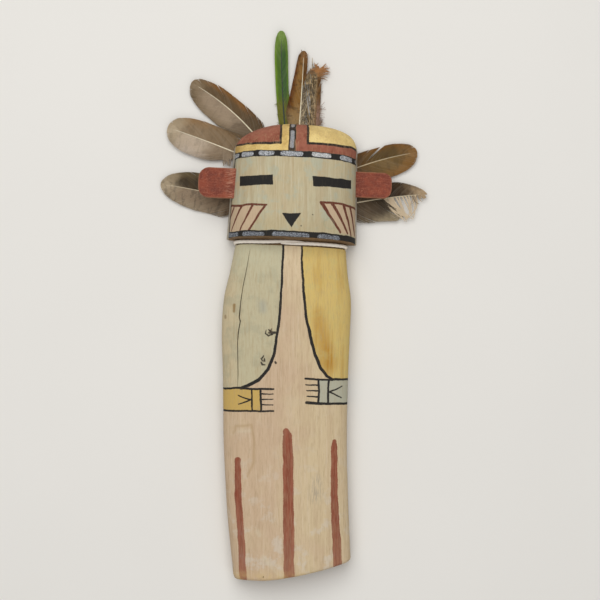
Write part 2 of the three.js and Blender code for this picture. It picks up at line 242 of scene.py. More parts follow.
# Each feather, its lengths mostly as shares of its own length.
# root: place in shares of the head's half width and length. degrees: how far it points to the right of the
# crown. length: share of FEATHER_LENGTH. bow and lift: how far it bends to the right and rises. sink: how
# many quill radii its quill lies below its root. tip: how square the vanes end.
# left and right vane: where it starts and where it is full, its width near the root and far from it, where it
# rounds off and where it ends.
# angles and fray, left and right: degrees from barb to quill, and how ragged the barbs are.
# bars: how dark its crossbars are. inner and outer, left and right: colours beside the quill and at the edge.
# base, end and quill: colours. down: from where to where it is downy.
# barred: side, where the stripes fade out and where they are full, their colour and the colour between them.
# parting: its place, half width and push.
# torn: from where to where the right barbs are torn, where they gather, how far out, and up to where all
# stay.
# loose strands: from where to where, side, heading from and to and bend from and to in degrees, reach, count
# and half width.
FEATHERS = {
    "feather_left_top": {
        "root": (-0.32, 0.7), "degrees": -49, "length": 0.991, "bow": 0.063, "tip": 2.2,
        "sink": 3.2, "lift": 0.026, "angles": (30, 30), "fray": (0.12, 0.3), "bars": 0.12,
        "left": (0.2, 0.42, 0.183, 0.174, 0.66, 1), "right": (0.1, 0.3, 0.132, 0.108, 0.7, 1),
        "inner": ((160, 140, 116), (104, 82, 54)), "outer": ((144, 124, 98), (142, 98, 50)),
        "base": (96, 78, 56), "end": (132, 112, 84), "quill": (236, 226, 196), "down": (0.2, 0.46),
    },
    "feather_left_middle": {
        "root": (-0.32, 0.63), "degrees": -71, "length": 0.991, "bow": 0.014, "tip": 2.2,
        "sink": 0.6, "lift": 0.017, "angles": (30, 30), "fray": (0.1, 0.15), "bars": 0.12,
        "left": (0.3, 0.66, 0.165, 0.165, 0.72, 1), "right": (0.12, 0.4, 0.157, 0.157, 0.7, 1),
        "inner": ((190, 172, 150), (146, 124, 96)), "outer": ((194, 178, 160), (158, 126, 88)),
        "base": (130, 108, 80), "end": (176, 158, 130), "quill": (238, 228, 200), "down": (0.3, 0.6),
        "loose": ((0.42, 0.5, 1, 114, 136, -50, 0, 9.5, 26, 0.2),),
    },
    "feather_left_low": {
        "root": (-0.29, 0.29), "degrees": -80, "length": 1.009, "bow": 0.015, "tip": 1.9,
        "sink": 3.2, "lift": 0.026, "angles": (34, 30), "fray": (0.2, 0.1), "bars": 0.3,
        "left": (0.15, 0.35, 0.205, 0.162, 0.65, 1), "right": (0.15, 0.35, 0.162, 0.145, 0.7, 1),
        "inner": ((142, 122, 98), (74, 60, 40)), "outer": ((160, 142, 118), (104, 88, 60)),
        "base": (116, 96, 72), "end": (170, 152, 124), "quill": (214, 198, 166), "down": (0.2, 0.4),
    },
    "feather_green": {
        "root": (-0.13, 0.8), "degrees": -5.3, "length": 1.034, "bow": -0.015, "tip": 2.3,
        "sink": 3.2, "lift": 0.05, "angles": (26, 26), "fray": (0.05, 0.05), "bars": 0.05,
        "left": (0.1, 0.3, 0.05, 0.058, 0.76, 1), "right": (0.1, 0.3, 0.047, 0.058, 0.76, 1),
        "inner": ((80, 110, 36), (62, 94, 44)), "outer": ((120, 152, 40), (102, 138, 42)),
        "base": (122, 112, 42), "end": (116, 142, 62), "quill": (46, 60, 60), "down": (0.2, 0.4),
        "loose": ((0.28, 0.34, 1, 20, 90, -60, 60, 3.4, 40, 0.09),),
    },
    "feather_rust": {
        "root": (0.02, 0.71), "degrees": 1.4, "length": 0.966, "bow": 0.005, "tip": 2,
        "sink": 0.6, "lift": 0.018, "angles": (22, 20), "fray": (0.15, 0.35), "bars": 0.35,
        "left": (0.1, 0.34, 0.2, 0.04, 0.93, 0.99), "right": (0.68, 0.84, 0.03, 0.04, 0.9, 0.99),
        "inner": ((142, 104, 50), (120, 80, 30)), "outer": ((104, 58, 12), (104, 66, 26)),
        "base": (168, 142, 100), "end": (126, 86, 40), "quill": (232, 222, 194), "down": (0.2, 0.42),
        "barred": (-1, 0.66, 0.58, (70, 54, 36), (196, 178, 144)),
        "loose": (
            (0.16, 0.5, -1, 3, 16, -6, 8, 13, 120, 0.2),
            (0.86, 0.95, 1, 12, 34, -24, 14, 3.4, 26, 0.2),
            (0.84, 0.95, -1, 14, 44, -24, 24, 3.2, 26, 0.18),
        ),
    },
    "feather_frayed": {
        "root": (0.27, 0.75), "degrees": 0.5, "length": 0.793, "bow": 0.007, "tip": 1.6,
        "sink": 3.2, "lift": 0.043, "angles": (13, 24), "fray": (0.8, 0.45), "bars": 0.5,
        "left": (0.06, 0.2, 0.2, 0.17, 0.84, 0.98), "right": (0.2, 0.4, 0.052, 0.043, 0.8, 1),
        "inner": ((116, 82, 38), (114, 80, 38)), "outer": ((186, 168, 134), (116, 80, 38)),
        "base": (168, 136, 120), "end": (168, 112, 56), "quill": (122, 94, 58), "down": (0.25, 0.55),
        "barred": (1, 0.95, 0.85, (50, 36, 16), (188, 164, 124)),
        "loose": (
            (0.86, 0.97, 1, 5, 60, -90, 20, 4, 30, 0.16),
            (0.86, 0.96, -1, 35, 85, 0, 50, 6.5, 46, 0.17),
            (0.3, 0.8, -1, 12, 40, -20, 20, 4.5, 60, 0.12),
            (0.32, 0.39, -1, 20, 100, -110, 90, 4.2, 60, 0.09),
            (0.32, 0.38, 1, 20, 100, -110, 90, 4.2, 50, 0.09),
            (0.15, 0.8, 1, 10, 24, -24, 10, 14, 110, 0.24),
        ),
    },
    "feather_right_upper": {
        "root": (0.38, 0.51), "degrees": 69, "length": 0.9, "bow": -0.046, "tip": 2.2,
        "sink": 3.2, "lift": 0.029, "angles": (34, 30), "fray": (0.2, 0.1), "bars": 0.2,
        "left": (0.15, 0.45, 0.134, 0.123, 0.74, 1), "right": (0.15, 0.4, 0.192, 0.182, 0.68, 1),
        "inner": ((94, 72, 34), (120, 94, 52)), "outer": ((122, 82, 32), (146, 106, 56)),
        "base": (112, 80, 42), "end": (138, 100, 52), "quill": (206, 188, 152), "down": (0.3, 0.5),
        "parting": (0.5, 0.03, 0.02),
    },
    "feather_right_low": {
        "root": (0.35, 0.28), "degrees": 78.5, "length": 0.976, "bow": -0.025, "tip": 1.4,
        "sink": 0.6, "lift": 0.018, "angles": (40, 40), "fray": (0.12, 0.3), "bars": 0.2,
        "left": (0.2, 0.45, 0.159, 0.122, 0.74, 1), "right": (0.15, 0.35, 0.159, 0.247, 0.7, 0.88),
        "inner": ((54, 37, 18), (66, 54, 38)), "outer": ((66, 47, 24), (164, 148, 120)),
        "base": (92, 74, 52), "end": (178, 152, 118), "quill": (222, 208, 176), "down": (0.3, 0.5),
        "torn": (0.61, 0.9, 0.82, 11.6, 0.69),
        "loose": (
            (0.92, 0.97, -1, 30, 60, 20, 70, 2.8, 34, 0.2),
            (0.86, 0.93, -1, 80, 110, -70, 40, 6.5, 7, 0.17),
        ),
    },
}


def srgb(red, green, blue):
    """A colour as it looks on a screen, from 0 to 255, as the linear colour that Blender works with."""
    def linear(level):
        share = level / 255
        return share / 12.92 if share <= 0.04045 else ((share + 0.055) / 1.055) ** 2.4

    return (linear(red), linear(green), linear(blue))


def opaque(colour):
    """A colour with its alpha, as a shader socket takes it."""
    return (colour[0], colour[1], colour[2], 1)


def tone(colour):
    """A colour as it looks on a screen, as a shader socket takes it."""
    return opaque(srgb(*colour))


def lerp(start, end, share):
    """The value at a share of the way from start to end."""
    return start + (end - start) * share


def clamp(value, low=0.0, high=1.0):
    """The value held between low and high."""
    return min(max(value, low), high)


def smoothstep(value, low, high):
    """Rises smoothly from 0 at low to 1 at high."""
    share = clamp((value - low) / (high - low))
    return share * share * (3 - 2 * share)


# Shader maths


class Socket:
    """A shader output that Python arithmetic builds on."""

    def __init__(self, finish, socket):
        self.finish = finish
        self.socket = socket

    def __add__(self, other):
        return self.finish.math("ADD", self, other)

    __radd__ = __add__

    def __sub__(self, other):
        return self.finish.math("SUBTRACT", self, other)

    def __rsub__(self, other):
        return self.finish.math("SUBTRACT", other, self)

    def __mul__(self, other):
        return self.finish.math("MULTIPLY", self, other)

    __rmul__ = __mul__

    def __abs__(self):
        return self.finish.math("ABSOLUTE", self)


class Finish:
    """A material that is put together node by node."""

    def __init__(self, name):
        self.material = bpy.data.materials.new(name)
        self.material.use_nodes = True
        self.tree = self.material.node_tree
        self.shader = self.tree.nodes["Principled BSDF"]

    def plug(self, socket, value):
        """Gives a socket a link or a fixed value."""
        if isinstance(value, Socket):
            self.tree.links.new(value.socket, socket)
        else:
            socket.default_value = value

    def add(self, kind, settings=None, inputs=None, output=0):
        """Adds a node: its settings first, then the values or links of its sockets."""
        node = self.tree.nodes.new(kind)
        for name, value in (settings or {}).items():
            if name == "curve":
                fill_curve(node.mapping, value)
            else:
                setattr(node, name, value)
        for name, value in (inputs or {}).items():
            self.plug(node.inputs[name], value)
        return Socket(self, node.outputs[output])

    def math(self, operation, *values):
        """A Math node."""
        return self.add("ShaderNodeMath", {"operation": operation}, dict(enumerate(values)))

    def held(self, value):
        """A value held between 0 and 1."""
        return self.add("ShaderNodeClamp", None, {0: value})

    def vector(self, operation, *values, output=0):
        """A Vector Math node."""
        return self.add("ShaderNodeVectorMath", {"operation": operation}, dict(enumerate(values)), output)

    def mix(self, share, first, second, blend="MIX"):
        """One colour going over into another."""
        settings = {"data_type": "RGBA", "blend_type": blend}
        return self.add("ShaderNodeMix", settings, {0: share, 6: first, 7: second}, 2)

    def wash(self, colour, value, low, high, most, tint):
        """A thin colour over another one, from nothing where a value is low to most where it is high."""
        return self.mix(self.ramp(value, low, high, 0.0, most), colour, tone(tint))

    def noise(self, place, scale, detail=3.0, rough=0.55, output=0):
        """Cloudy noise, scale in features for each millimetre."""
        inputs = {"Vector": place, "Scale": scale, "Detail": detail, "Roughness": rough}
        return self.add("ShaderNodeTexNoise", {"noise_dimensions": "3D"}, inputs, output)

    def ramp(self, value, low, high, start=0.0, end=1.0):
        """A value that goes smoothly from start, at low, to end, at high."""
        inputs = {"Value": value, "From Min": low, "From Max": high, "To Min": start, "To Max": end}
        return self.add("ShaderNodeMapRange", {"interpolation_type": "SMOOTHSTEP"}, inputs)

    def inside(self, distance, soft):
        """1 where a distance is below zero and 0 where it is above, soft at the edge."""
        return self.ramp(distance, -soft, soft, 1.0, 0.0)

    def place(self):
        """The piece's own coordinates in millimetres."""
        coordinates = self.add("ShaderNodeTexCoord", None, None, "Object")
        return self.vector("MULTIPLY", coordinates, (1 / MM,) * 3)

    def attribute(self, name, output="Vector"):
        """A value that the mesh carries."""
        return self.add("ShaderNodeAttribute", {"attribute_name": name}, None, output)

    def split(self, place):
        """The three parts of a vector."""
        node = self.add("ShaderNodeSeparateXYZ", None, {0: place}).socket.node
        return [Socket(self, socket) for socket in node.outputs]

    def stroke(self, place, start, end, width_start, width_end):
        """Distance from the edge of a brush stroke between two places."""
        run = Vector(end) - Vector(start)
        offset = self.vector("SUBTRACT", place, (start[0], start[1], 0))
        scaled = run / run.length_squared
        share = self.vector("DOT_PRODUCT", offset, (scaled.x, scaled.y, 0), output=1)
        share = self.held(share)
        along = self.add("ShaderNodeVectorMath", {"operation": "SCALE"}, {0: (run.x, run.y, 0), 3: share})
        distance = self.vector("DISTANCE", offset, along, output=1)
        if width_start == width_end:
            return distance - width_start
        return distance - self.math("MULTIPLY_ADD", share, width_end - width_start, width_start)

    def strokes(self, place, rows):
        """Distance from the nearest of several brush lines, each a row of places with half widths."""
        nearest = None
        for row in rows:
            for start, end in zip(row, row[1:]):
                distance = self.stroke(place, start[:2], end[:2], start[2], end[2])
                nearest = distance if nearest is None else self.math("MINIMUM", nearest, distance)
        return nearest

    def patch(self, place, corners):
        """Distance from a filled shape with straight sides, its corners given counterclockwise."""
        farthest = None
        for start, end in zip(corners, corners[1:] + corners[:1]):
            outward = Vector((end[1] - start[1], start[0] - end[0])).normalized()
            level = outward.dot(Vector(start))
            distance = self.vector("DOT_PRODUCT", place, (outward.x, outward.y, 0), output=1) - level
            farthest = distance if farthest is None else self.math("MAXIMUM", farthest, distance)
        return farthest

    def finish(self, colour, roughness, height=None, strength=0.5, distance=0.2, gloss=0.25):
        """Connects the colour, roughness and bump, and gives back the material."""
        self.shader.inputs["Specular IOR Level"].default_value = gloss
        self.plug(self.shader.inputs["Base Color"], colour)
        self.plug(self.shader.inputs["Roughness"], roughness)
        if height is not None:
            inputs = {"Height": height, "Strength": strength, "Distance": distance * MM}
            self.plug(self.shader.inputs["Normal"], self.add("ShaderNodeBump", None, inputs))
        return self.material


def fill_curve(mapping, points):
    """Lays a curve through its points, both ways from 0 to 1."""
    curve = mapping.curves[0]
    while len(curve.points) < len(points):
        curve.points.new(0.5, 0.5)
    for point, place in zip(curve.points, points):
        point.location = place
    mapping.update()


# Paint on the figure

# Brush lines on the body: across, along, half width
SLEEVE_LINES = (
    (
        (-1.3, 53, 0.5), (-1.3, 50.5, 0.55), (-2, 30.9, 0.58), (-3, 18.6, 0.65), (-4.2, 8.8, 0.68),
        (-5.7, -1, 0.72), (-8.7, -8.4, 0.78), (-13.1, -13.3, 0.85), (-18.6, -16.3, 0.78),
        (-22.5, -17.4, 0.55), (-33, -18.1, 0.5),
    ),
    ((-22.5, -17.8, 0.55), (-6.1, -17.8, 0.5)),
    (
        (8, 53, 0.5), (8, 45.6, 0.55), (8.8, 30.9, 0.62), (10, 18.6, 0.7), (12, 8.8, 0.8), (14.4, -1, 0.8),
        (17.4, -7.5, 0.8), (20.4, -11.4, 0.72), (23.3, -13, 0.55), (34, -13.5, 0.55),
    ),
    ((9.7, -12.7, 0.5), (23.3, -13.3, 0.5)),
)
HAND_LINES = (
    ((-33, -28.9, 0.5), (-5.9, -28.6, 0.45)),
    ((-16.7, -18, 0.45), (-16.6, -28.6, 0.4)),
    ((-12.3, -18, 0.55), (-12.1, -28.6, 0.55)),
    ((-23.4, -21.2, 0.3), (-17.2, -23.2, 0.45), (-23.4, -25.5, 0.3)),
    ((-12.1, -20.2, 0.4), (-6.1, -20.2, 0.25)),
    ((-12.1, -23, 0.4), (-6.1, -22.8, 0.25)),
    ((-12.1, -25.7, 0.4), (-6.1, -25.6, 0.25)),
    ((10.4, -24.5, 0.75), (20, -25.3, 0.65), (33.5, -25.2, 0.55)),
    ((16.3, -13.2, 0.5), (16.2, -24.6, 0.55)),
    ((21.4, -13.2, 0.55), (20.9, -24.6, 0.55)),
    ((27.9, -16.7, 0.3), (21.8, -19.5, 0.45), (27.5, -22.4, 0.3)),
    ((9.9, -15.6, 0.3), (16.2, -15.9, 0.45)),
    ((10.3, -18.6, 0.3), (16.2, -18.8, 0.45)),
    ((10.4, -21.4, 0.3), (16.2, -21.8, 0.45)),
)
BODY_STRIPES = (
    ((-23.7, -53.3, 1.6), (-23.7, -70, 1.75), (-22, -95, 1.8), (-21, -115, 1.8)),
    ((0, -38.7, 1.5), (0.9, -41.2, 2.35), (1.3, -55, 2.6), (1.4, -80, 2.65), (1.7, -115, 2.6)),
    ((24, -43.6, 0.9), (24, -46.5, 1.55), (24, -70, 1.7), (25.3, -95, 2.2), (25.9, -108, 2.2)),
)
RUBBED_MARKS = (
    ((-23, -39, 0.7), (-17.5, -38.4, 0.9)),
    ((-3.5, -110, 0.5), (-11, -101, 1.2)),
    ((-14, -88, 1), (-13, -90, 1)),
)
STAIN_LINES = (
    (
        (-25.6, -40, 0.3), (-24.6, -36.4, 0.5), (-17, -35.6, 0.4), (-15.4, -44, 0.4), (-15.8, -54, 0.5),
        (-19, -61, 0.2),
    ),
)
LEFT_SLEEVE = (
    (-18.1, -36), (-17.4, -22.5), (-16.3, -18.6), (-13.3, -13.1), (-8.4, -8.7), (-1, -5.7), (8.8, -4.2),
    (18.6, -3), (30.9, -2), (50.5, -1.3), (56, -1.3),
)
RIGHT_SLEEVE = (
    (-13.5, 36), (-13, 23.3), (-11.4, 20.4), (-7.5, 17.4), (-1, 14.4), (8.8, 12), (18.6, 10), (30.9, 8.8),
    (45.6, 8), (56, 8),
)
SLEEVE_SPAN = (-20, 56)
SLEEVE_REACH = 40
LEFT_SLEEVE_END = -18.3
RIGHT_SLEEVE_END = -13.6
LEFT_CUFF = [(-34, -28.8), (-12.2, -28.8), (-12.2, -17.9), (-34, -17.9)]
RIGHT_CUFF = [(16.2, -25), (34, -25), (34, -13.4), (16.2, -13.2)]

# Paint on the face: along its curve from the middle, up from its underside, half width
LEFT_EYE = [(-27.4, 25.3), (-8.9, 25.4), (-9.1, 30.3), (-28.2, 30.1)]
RIGHT_EYE = [(8.3, 25.4), (31.2, 26.8), (31.4, 30.8), (7.9, 30.4)]
NOSE = [(-0.2, 5.1), (3.6, 12.3), (-4.4, 11.9)]
LEFT_CHEEK = [(-44, 3.4), (-19.3, 3.1), (-11.8, 15.6), (-26, 15.7), (-44, 16.8)]
RIGHT_CHEEK = [(22.8, 4.1), (44, 3.6), (44, 17.8), (26.4, 18.1), (12, 18)]
CHEEK_LINES = (
    ((-43.5, 16.6, 0.5), (-26, 15.7, 0.55), (-18.1, 16, 0.55), (-11.4, 15.7, 0.5)),
    ((-11.9, 15.6, 0.6), (-19.5, 3.4, 0.55)),
    ((-18.2, 15.4, 0.6), (-25.3, 3.6, 0.45)),
    ((-24.9, 15.4, 0.65), (-33, 4, 0.5)),
    ((-32.1, 15, 0.7), (-42.5, 4.6, 0.6)),
    ((11.9, 18, 0.6), (18, 18.4, 0.6), (26.4, 18.1, 0.6), (43.5, 17.8, 0.5)),
    ((12.4, 17.6, 0.85), (22.8, 4.5, 0.6)),
    ((17.6, 18.1, 0.9), (28.2, 4.4, 0.6)),
    ((24.6, 17.7, 0.95), (31.8, 4, 0.7)),
    ((30.4, 17.4, 1), (37.5, 4.6, 0.9)),
)
UPPER_BAND = (39.35, 42.4)
LOWER_BAND_TOP = 3.35
BAND_EDGE = 8.6
BAND_DASHES = (
    ((-39.6, 41, 1), (-31.4, 40.9, 1)),
    ((-27, 40.9, 1.05), (-20.2, 40.8, 1.05)),
    ((-15.3, 40.9, 1.1), (-9.9, 40.9, 1.1)),
    ((-4.9, 40.9, 1.1), (2.3, 41, 1.1)),
    ((8.2, 41, 1.05), (15.2, 41, 1.05)),
    ((22.2, 40.9, 1.05), (30.4, 40.8, 1.05)),
    ((37.6, 40.9, 0.9), (40, 40.9, 0.9)),
    ((-41, 1.9, 1.1), (-27.4, 1.6, 1.1)),
    ((-22.3, 1.4, 1.2), (-13, 1.3, 1.2)),
    ((-7.2, 1.2, 1.3), (6.2, 1.2, 1.3)),
    ((12.4, 1.2, 1.2), (21.6, 1.4, 1.2)),
)
FACE_SPECKS = (((8.5, 11.9, 0.2), (8.7, 11.8, 0.2)), ((3.8, 6.2, 0.2), (3.9, 5.8, 0.16)))

# Paint on the crown: across the head, up from its underside, half width
CROWN_LEFT_RED = [(-34, 45.8), (-7.2, 45.8), (-7.2, 60), (-34, 60)]
CROWN_RIGHT_BAND = [(0.1, 42), (34, 42), (34, 46.6), (0.1, 46.3)]
CROWN_RIGHT_RED = [(0.1, 42), (5.7, 42), (5.7, 60), (0.1, 60)]
CROWN_LINES = (
    ((-32, 46.4, 0.5), (-20, 45.8, 0.55), (-7.2, 45.8, 0.6), (-7.3, 59, 0.55)),
    ((32, 47.2, 0.55), (23.4, 46.7, 0.6), (6, 46.2, 0.6), (5.7, 59, 0.55)),
)
CROWN_BAND = (-3.4, 0.1)
CROWN_MARKS = (((-1.7, 44.6, 1), (-1.7, 51.9, 0.95)), ((-1.7, 55.6, 0.9), (-1.6, 57.2, 0.9)))
CROWN_GLOW = (5, 9)

# Patterns in the painted wood: how much each is drawn out along the grain, features for each millimetre,
# detail and roughness
PATTERNS = {
    "wide": (0.05, 0.35, 3, 0.55),
    "narrow": (0.12, 1.6, 4, 0.65),
    "cloud": (1, 0.045, 3, 0.55),
    "patch": (1, 0.14, 4, 0.6),
    "speck": (1, 2.4, 2, 0.55),
    "streak": (0.045, 0.95, 4, 0.6),
}

# Drift of the brush and of its bristles: turns for each millimetre and detail
BRUSH_NOISE = ((0.16, 1.5), (1.5, 2))

# Washes of thin colour: the pattern or direction that each follows, where it starts and is full, its greatest
# cover and its colour
BODY_WASHES = (
    ("along", 20, 52, 0.75, (220, 200, 164)),
    ("wide", 0.48, 0.66, 0.3, (182, 154, 122)),
    ("streak", 0.5, 0.68, 0.3, (176, 148, 120)),
    ("streak", 0.46, 0.32, 0.36, (214, 194, 168)),
)
GREEN_WASHES = (
    ("patch", 0.46, 0.64, 0.5, (166, 162, 136)),
    ("streak", 0.5, 0.66, 0.28, (170, 150, 112)),
    ("along", 30, 50, 0.5, (194, 190, 160)),
)
OCHRE_WASHES = (
    ("streak", 0.5, 0.68, 0.26, (166, 142, 84)),
    ("patch", 0.5, 0.66, 0.3, (194, 182, 118)),
)
STRIPE_WASHES = (("streak", 0.42, 0.62, 1.0, (146, 80, 58)),)
FACE_WASHES = (
    ("wide", 0.46, 0.62, 0.38, (178, 154, 118)),
    ("streak", 0.5, 0.66, 0.36, (168, 150, 116)),
    ("streak", 0.46, 0.34, 0.5, (200, 192, 164)),
    ("patch", 0.5, 0.64, 0.6, (174, 178, 158)),
    ("along", 14, 5, 0.4, (176, 160, 122)),
)
CROWN_RED_WASHES = (
    ("patch", 0.4, 0.65, 1.0, (134, 74, 56)),
    ("patch", 0.46, 0.34, 0.6, (176, 112, 88)),
)
CROWN_YELLOW_WASHES = (
    ("patch", 0.4, 0.65, 1.0, (190, 156, 88)),
    ("patch", 0.46, 0.34, 0.6, (224, 198, 134)),
)

# Small marks on the body: brush strokes, how soft their edge is, cover and colour
BODY_SPOTS = (
    ((((-25.3, 23.6, 0.75), (-25.5, 20.3, 0.6)),), 0.4, 0.75, (136, 104, 56)),
    ((((-30.2, 18.3, 0.5), (-30.1, 17.2, 0.5)),), 0.4, 0.6, (120, 92, 60)),
    ((((-11.6, 24, 1.8), (-11, 21, 1.4)),), 2, 0.35, (136, 146, 146)),
)
SMUDGE = (((15.6, -63, 2.2), (15, -71, 3)),)
OCHRE_PATCH = (((16, 19, 2.5), (20.5, -5, 4.5)),)

# A faint ring on the right cheek, the thin black line down the left front corner, and the middle and half
# width of the brighter part of the dashes
CHEEK_RING = (((16.6, 8.2, 2.5), (16.8, 8, 2.5)),)
CHEEK_RING_HALF = 0.2
CORNER_LINE = 14.2
CORNER_LINE_HALF = 1
BRIGHT_DASH = (11.7, 5.5)


def painted(finish, base, fills, thin, streak):
    """Lays painted areas over a base colour, each a colour with its cover, thinned where the grain shows."""
    colour = base
    for cover, tint in fills:
        colour = finish.mix(cover * thin, colour, tint)
    return finish.mix(streak, colour, finish.mix(0.5, colour, tone((140, 118, 84))))


class Grain:
    """The grain, blotches and brush marks that both painted finishes share."""

    def __init__(self, finish, settings):
        place = finish.place()
        self.finish = finish
        self.place = place
        self.side, _, self.rise = finish.split(place)
        for name, (drawn, *values) in PATTERNS.items():
            stretched = place if drawn == 1 else finish.vector("MULTIPLY", place, (1, drawn, 1))
            setattr(self, name, finish.noise(stretched, *values))
        drift, shiver = [
            finish.vector("SUBTRACT", finish.noise(place, *values, output="Color"), (0.5, 0.5, 0.5))
            for values in BRUSH_NOISE
        ]
        sway, bristle = settings.brush_sway / MM, settings.bristle_mark / MM
        self.wobble = finish.vector("MULTIPLY", drift, (sway, sway, 0))
        self.wobble = finish.vector("MULTIPLY_ADD", shiver, (bristle, bristle, 0), self.wobble)
        self.spot = finish.vector("ADD", finish.attribute("paint"), self.wobble)
        self.across, self.along, _ = finish.split(self.spot)

    def washes(self, colour, rows):
        """Lays thin colours over another one, each where its pattern is strong."""
        for name, *row in rows:
            colour = self.finish.wash(colour, getattr(self, name), *row)
        return colour

    def drawn(self, rows, soft):
        """Where brush strokes lie, with soft edges."""
        return self.finish.inside(self.finish.strokes(self.spot, rows), soft)

    def filled(self, corners, soft):
        """Where a painted shape lies, with soft edges."""
        return self.finish.inside(self.finish.patch(self.spot, corners), soft)

    def mark(self, colour, rows, soft, cover, tint):
        """Lays a colour over another one along brush strokes."""
        return self.finish.mix(self.drawn(rows, soft) * cover, colour, tone(tint))

    def show_wood(self, colour, wood):
        """Leaves the wood bare where the mesh says so, with a ragged edge."""
        bare = self.finish.attribute("bare", "Fac")
        ragged = self.finish.math("MULTIPLY_ADD", self.patch, 2.4, -1.2) + bare
        return self.finish.mix(self.finish.ramp(ragged, -0.15, 0.25), colour, wood)

    def close(self, colour, height):
        """The finished material, matte and a little rough along the grain."""
        height = self.narrow * 0.8 + self.speck * 0.35 + height + self.patch * 0.6
        roughness = self.finish.ramp(self.narrow, 0.3, 0.7, 0.72, 0.88)
        return self.finish.finish(colour, roughness, height, 0.5, 0.18)


def bare_wood(grain, colour):
    """Bare cottonwood root, with its grain."""
    finish = grain.finish
    darker = finish.mix(0.55, opaque(colour), tone((96, 66, 38)))
    wood = finish.mix(finish.ramp(grain.narrow, 0.35, 0.7), opaque(colour), darker)
    return grain.washes(wood, (("wide", 0.4, 0.75, 0.5, (186, 150, 104)),))


def right_of(grain, edge):
    """Distance of a place to the right of a painted edge that runs down the body."""
    low, high = SLEEVE_SPAN
    finish = grain.finish
    points = [((y - low) / (high - low), (x + SLEEVE_REACH) / (2 * SLEEVE_REACH)) for y, x in edge]
    share = finish.held(finish.math("MULTIPLY_ADD", grain.along, 1 / (high - low), -low / (high - low)))
    level = finish.add("ShaderNodeFloatCurve", {"curve": points}, {"Factor": 1.0, "Value": share})
    return grain.across - finish.math("MULTIPLY_ADD", level, 2 * SLEEVE_REACH, -SLEEVE_REACH)


def body_paint(settings):
    """The painted body: two sleeves, two cuffs with hands, three red stripes and black lines."""
    finish = Finish("painted_body")
    grain = Grain(finish, settings)
    across, along = grain.across, grain.along
    cream = opaque(settings.body_cream)
    warm = finish.held(finish.ramp(grain.cloud, 0.38, 0.62, -0.3, 0.3) + finish.ramp(across, -14, 26))
    base = grain.washes(finish.mix(warm, opaque(settings.body_ground), cream), BODY_WASHES)
    chalk = finish.ramp(grain.patch, 0.53, 0.66, 0.0, 0.6) * finish.ramp(along, -105, -30, 1.0, 0.15)
    base = finish.mix(chalk, base, tone((206, 194, 176)))
    base = grain.mark(base, RUBBED_MARKS, 1.0, 0.5, (206, 190, 162))
    base = grain.mark(base, STAIN_LINES, 0.9, 0.45, (160, 130, 84))

    left_side, right_side = right_of(grain, LEFT_SLEEVE), 0 - right_of(grain, RIGHT_SLEEVE)
    left_cover = finish.inside(left_side, 0.25) * finish.inside(LEFT_SLEEVE_END - along, 0.2)
    right_cover = finish.inside(right_side, 0.25) * finish.inside(RIGHT_SLEEVE_END - along, 0.2)
    green = finish.mix(finish.ramp(across, -28, -21, 0.55, 0.0), opaque(settings.green), cream)
    green = grain.washes(green, GREEN_WASHES)
    deep = grain.drawn(OCHRE_PATCH, 5) * 0.95 + finish.ramp(grain.wide, 0.42, 0.66, -0.2, 0.3)
    ochre = finish.mix(finish.held(deep), opaque(settings.yellow), opaque(settings.ochre))
    ochre = grain.washes(ochre, OCHRE_WASHES)
    fills = [
        (left_cover, green),
        (right_cover, ochre),
        (grain.filled(LEFT_CUFF, 0.2), opaque(settings.cuff)),
        (grain.filled(RIGHT_CUFF, 0.2), tone((174, 172, 152))),
    ]
    thin = finish.ramp(grain.narrow, 0.35, 0.85, 1.0, 0.75)
    colour = painted(finish, base, fills, thin, finish.ramp(grain.narrow, 0.46, 0.72, 0.0, 0.5))
    worn = finish.ramp(grain.narrow, 0.35, 0.8, 1.0, 0.72) * finish.ramp(along, -112, -70, 0.86, 1.0)
    red = grain.washes(opaque(settings.red), STRIPE_WASHES)
    colour = finish.mix(grain.drawn(BODY_STRIPES, 0.18) * worn, colour, red)
    lines = grain.drawn(SLEEVE_LINES + HAND_LINES, 0.14)
    lines_cover = lines * finish.ramp(grain.narrow, 0.5, 0.85, 1.0, 0.82)
    colour = finish.mix(lines_cover, colour, opaque(settings.black))

    colour = grain.mark(colour, KNOT_MARKS, 0.2, finish.ramp(grain.speck, 0.4, 0.55, 0.8, 1.0), (44, 38, 32))
    colour = grain.mark(colour, SMUDGE, 2.5, finish.ramp(grain.narrow, 0.4, 0.6, 0.0, 0.4), (138, 134, 128))
    for spot in BODY_SPOTS:
        colour = grain.mark(colour, *spot)
    # Painted shade: the crack and the knot dents are darkened in colour, the more the deeper they are cut
    colour = finish.wash(colour, finish.attribute("hollow", "Fac"), 0.05, 0.4, 0.92, (58, 44, 32))
    rim_wear = finish.ramp(along, -112.5, -106, 0.5, 0.0) * finish.ramp(grain.patch, 0.35, 0.6)
    colour = finish.mix(rim_wear, colour, tone((206, 176, 112)))
    colour = grain.show_wood(colour, bare_wood(grain, settings.wood))
    return grain.close(colour, lines * 0.25)


def middle_distance(value, span):
    """Distance from the edge of a band that runs from the first to the second of two values."""
    low, high = span
    return abs(value - (low + high) / 2) - (high - low) / 2


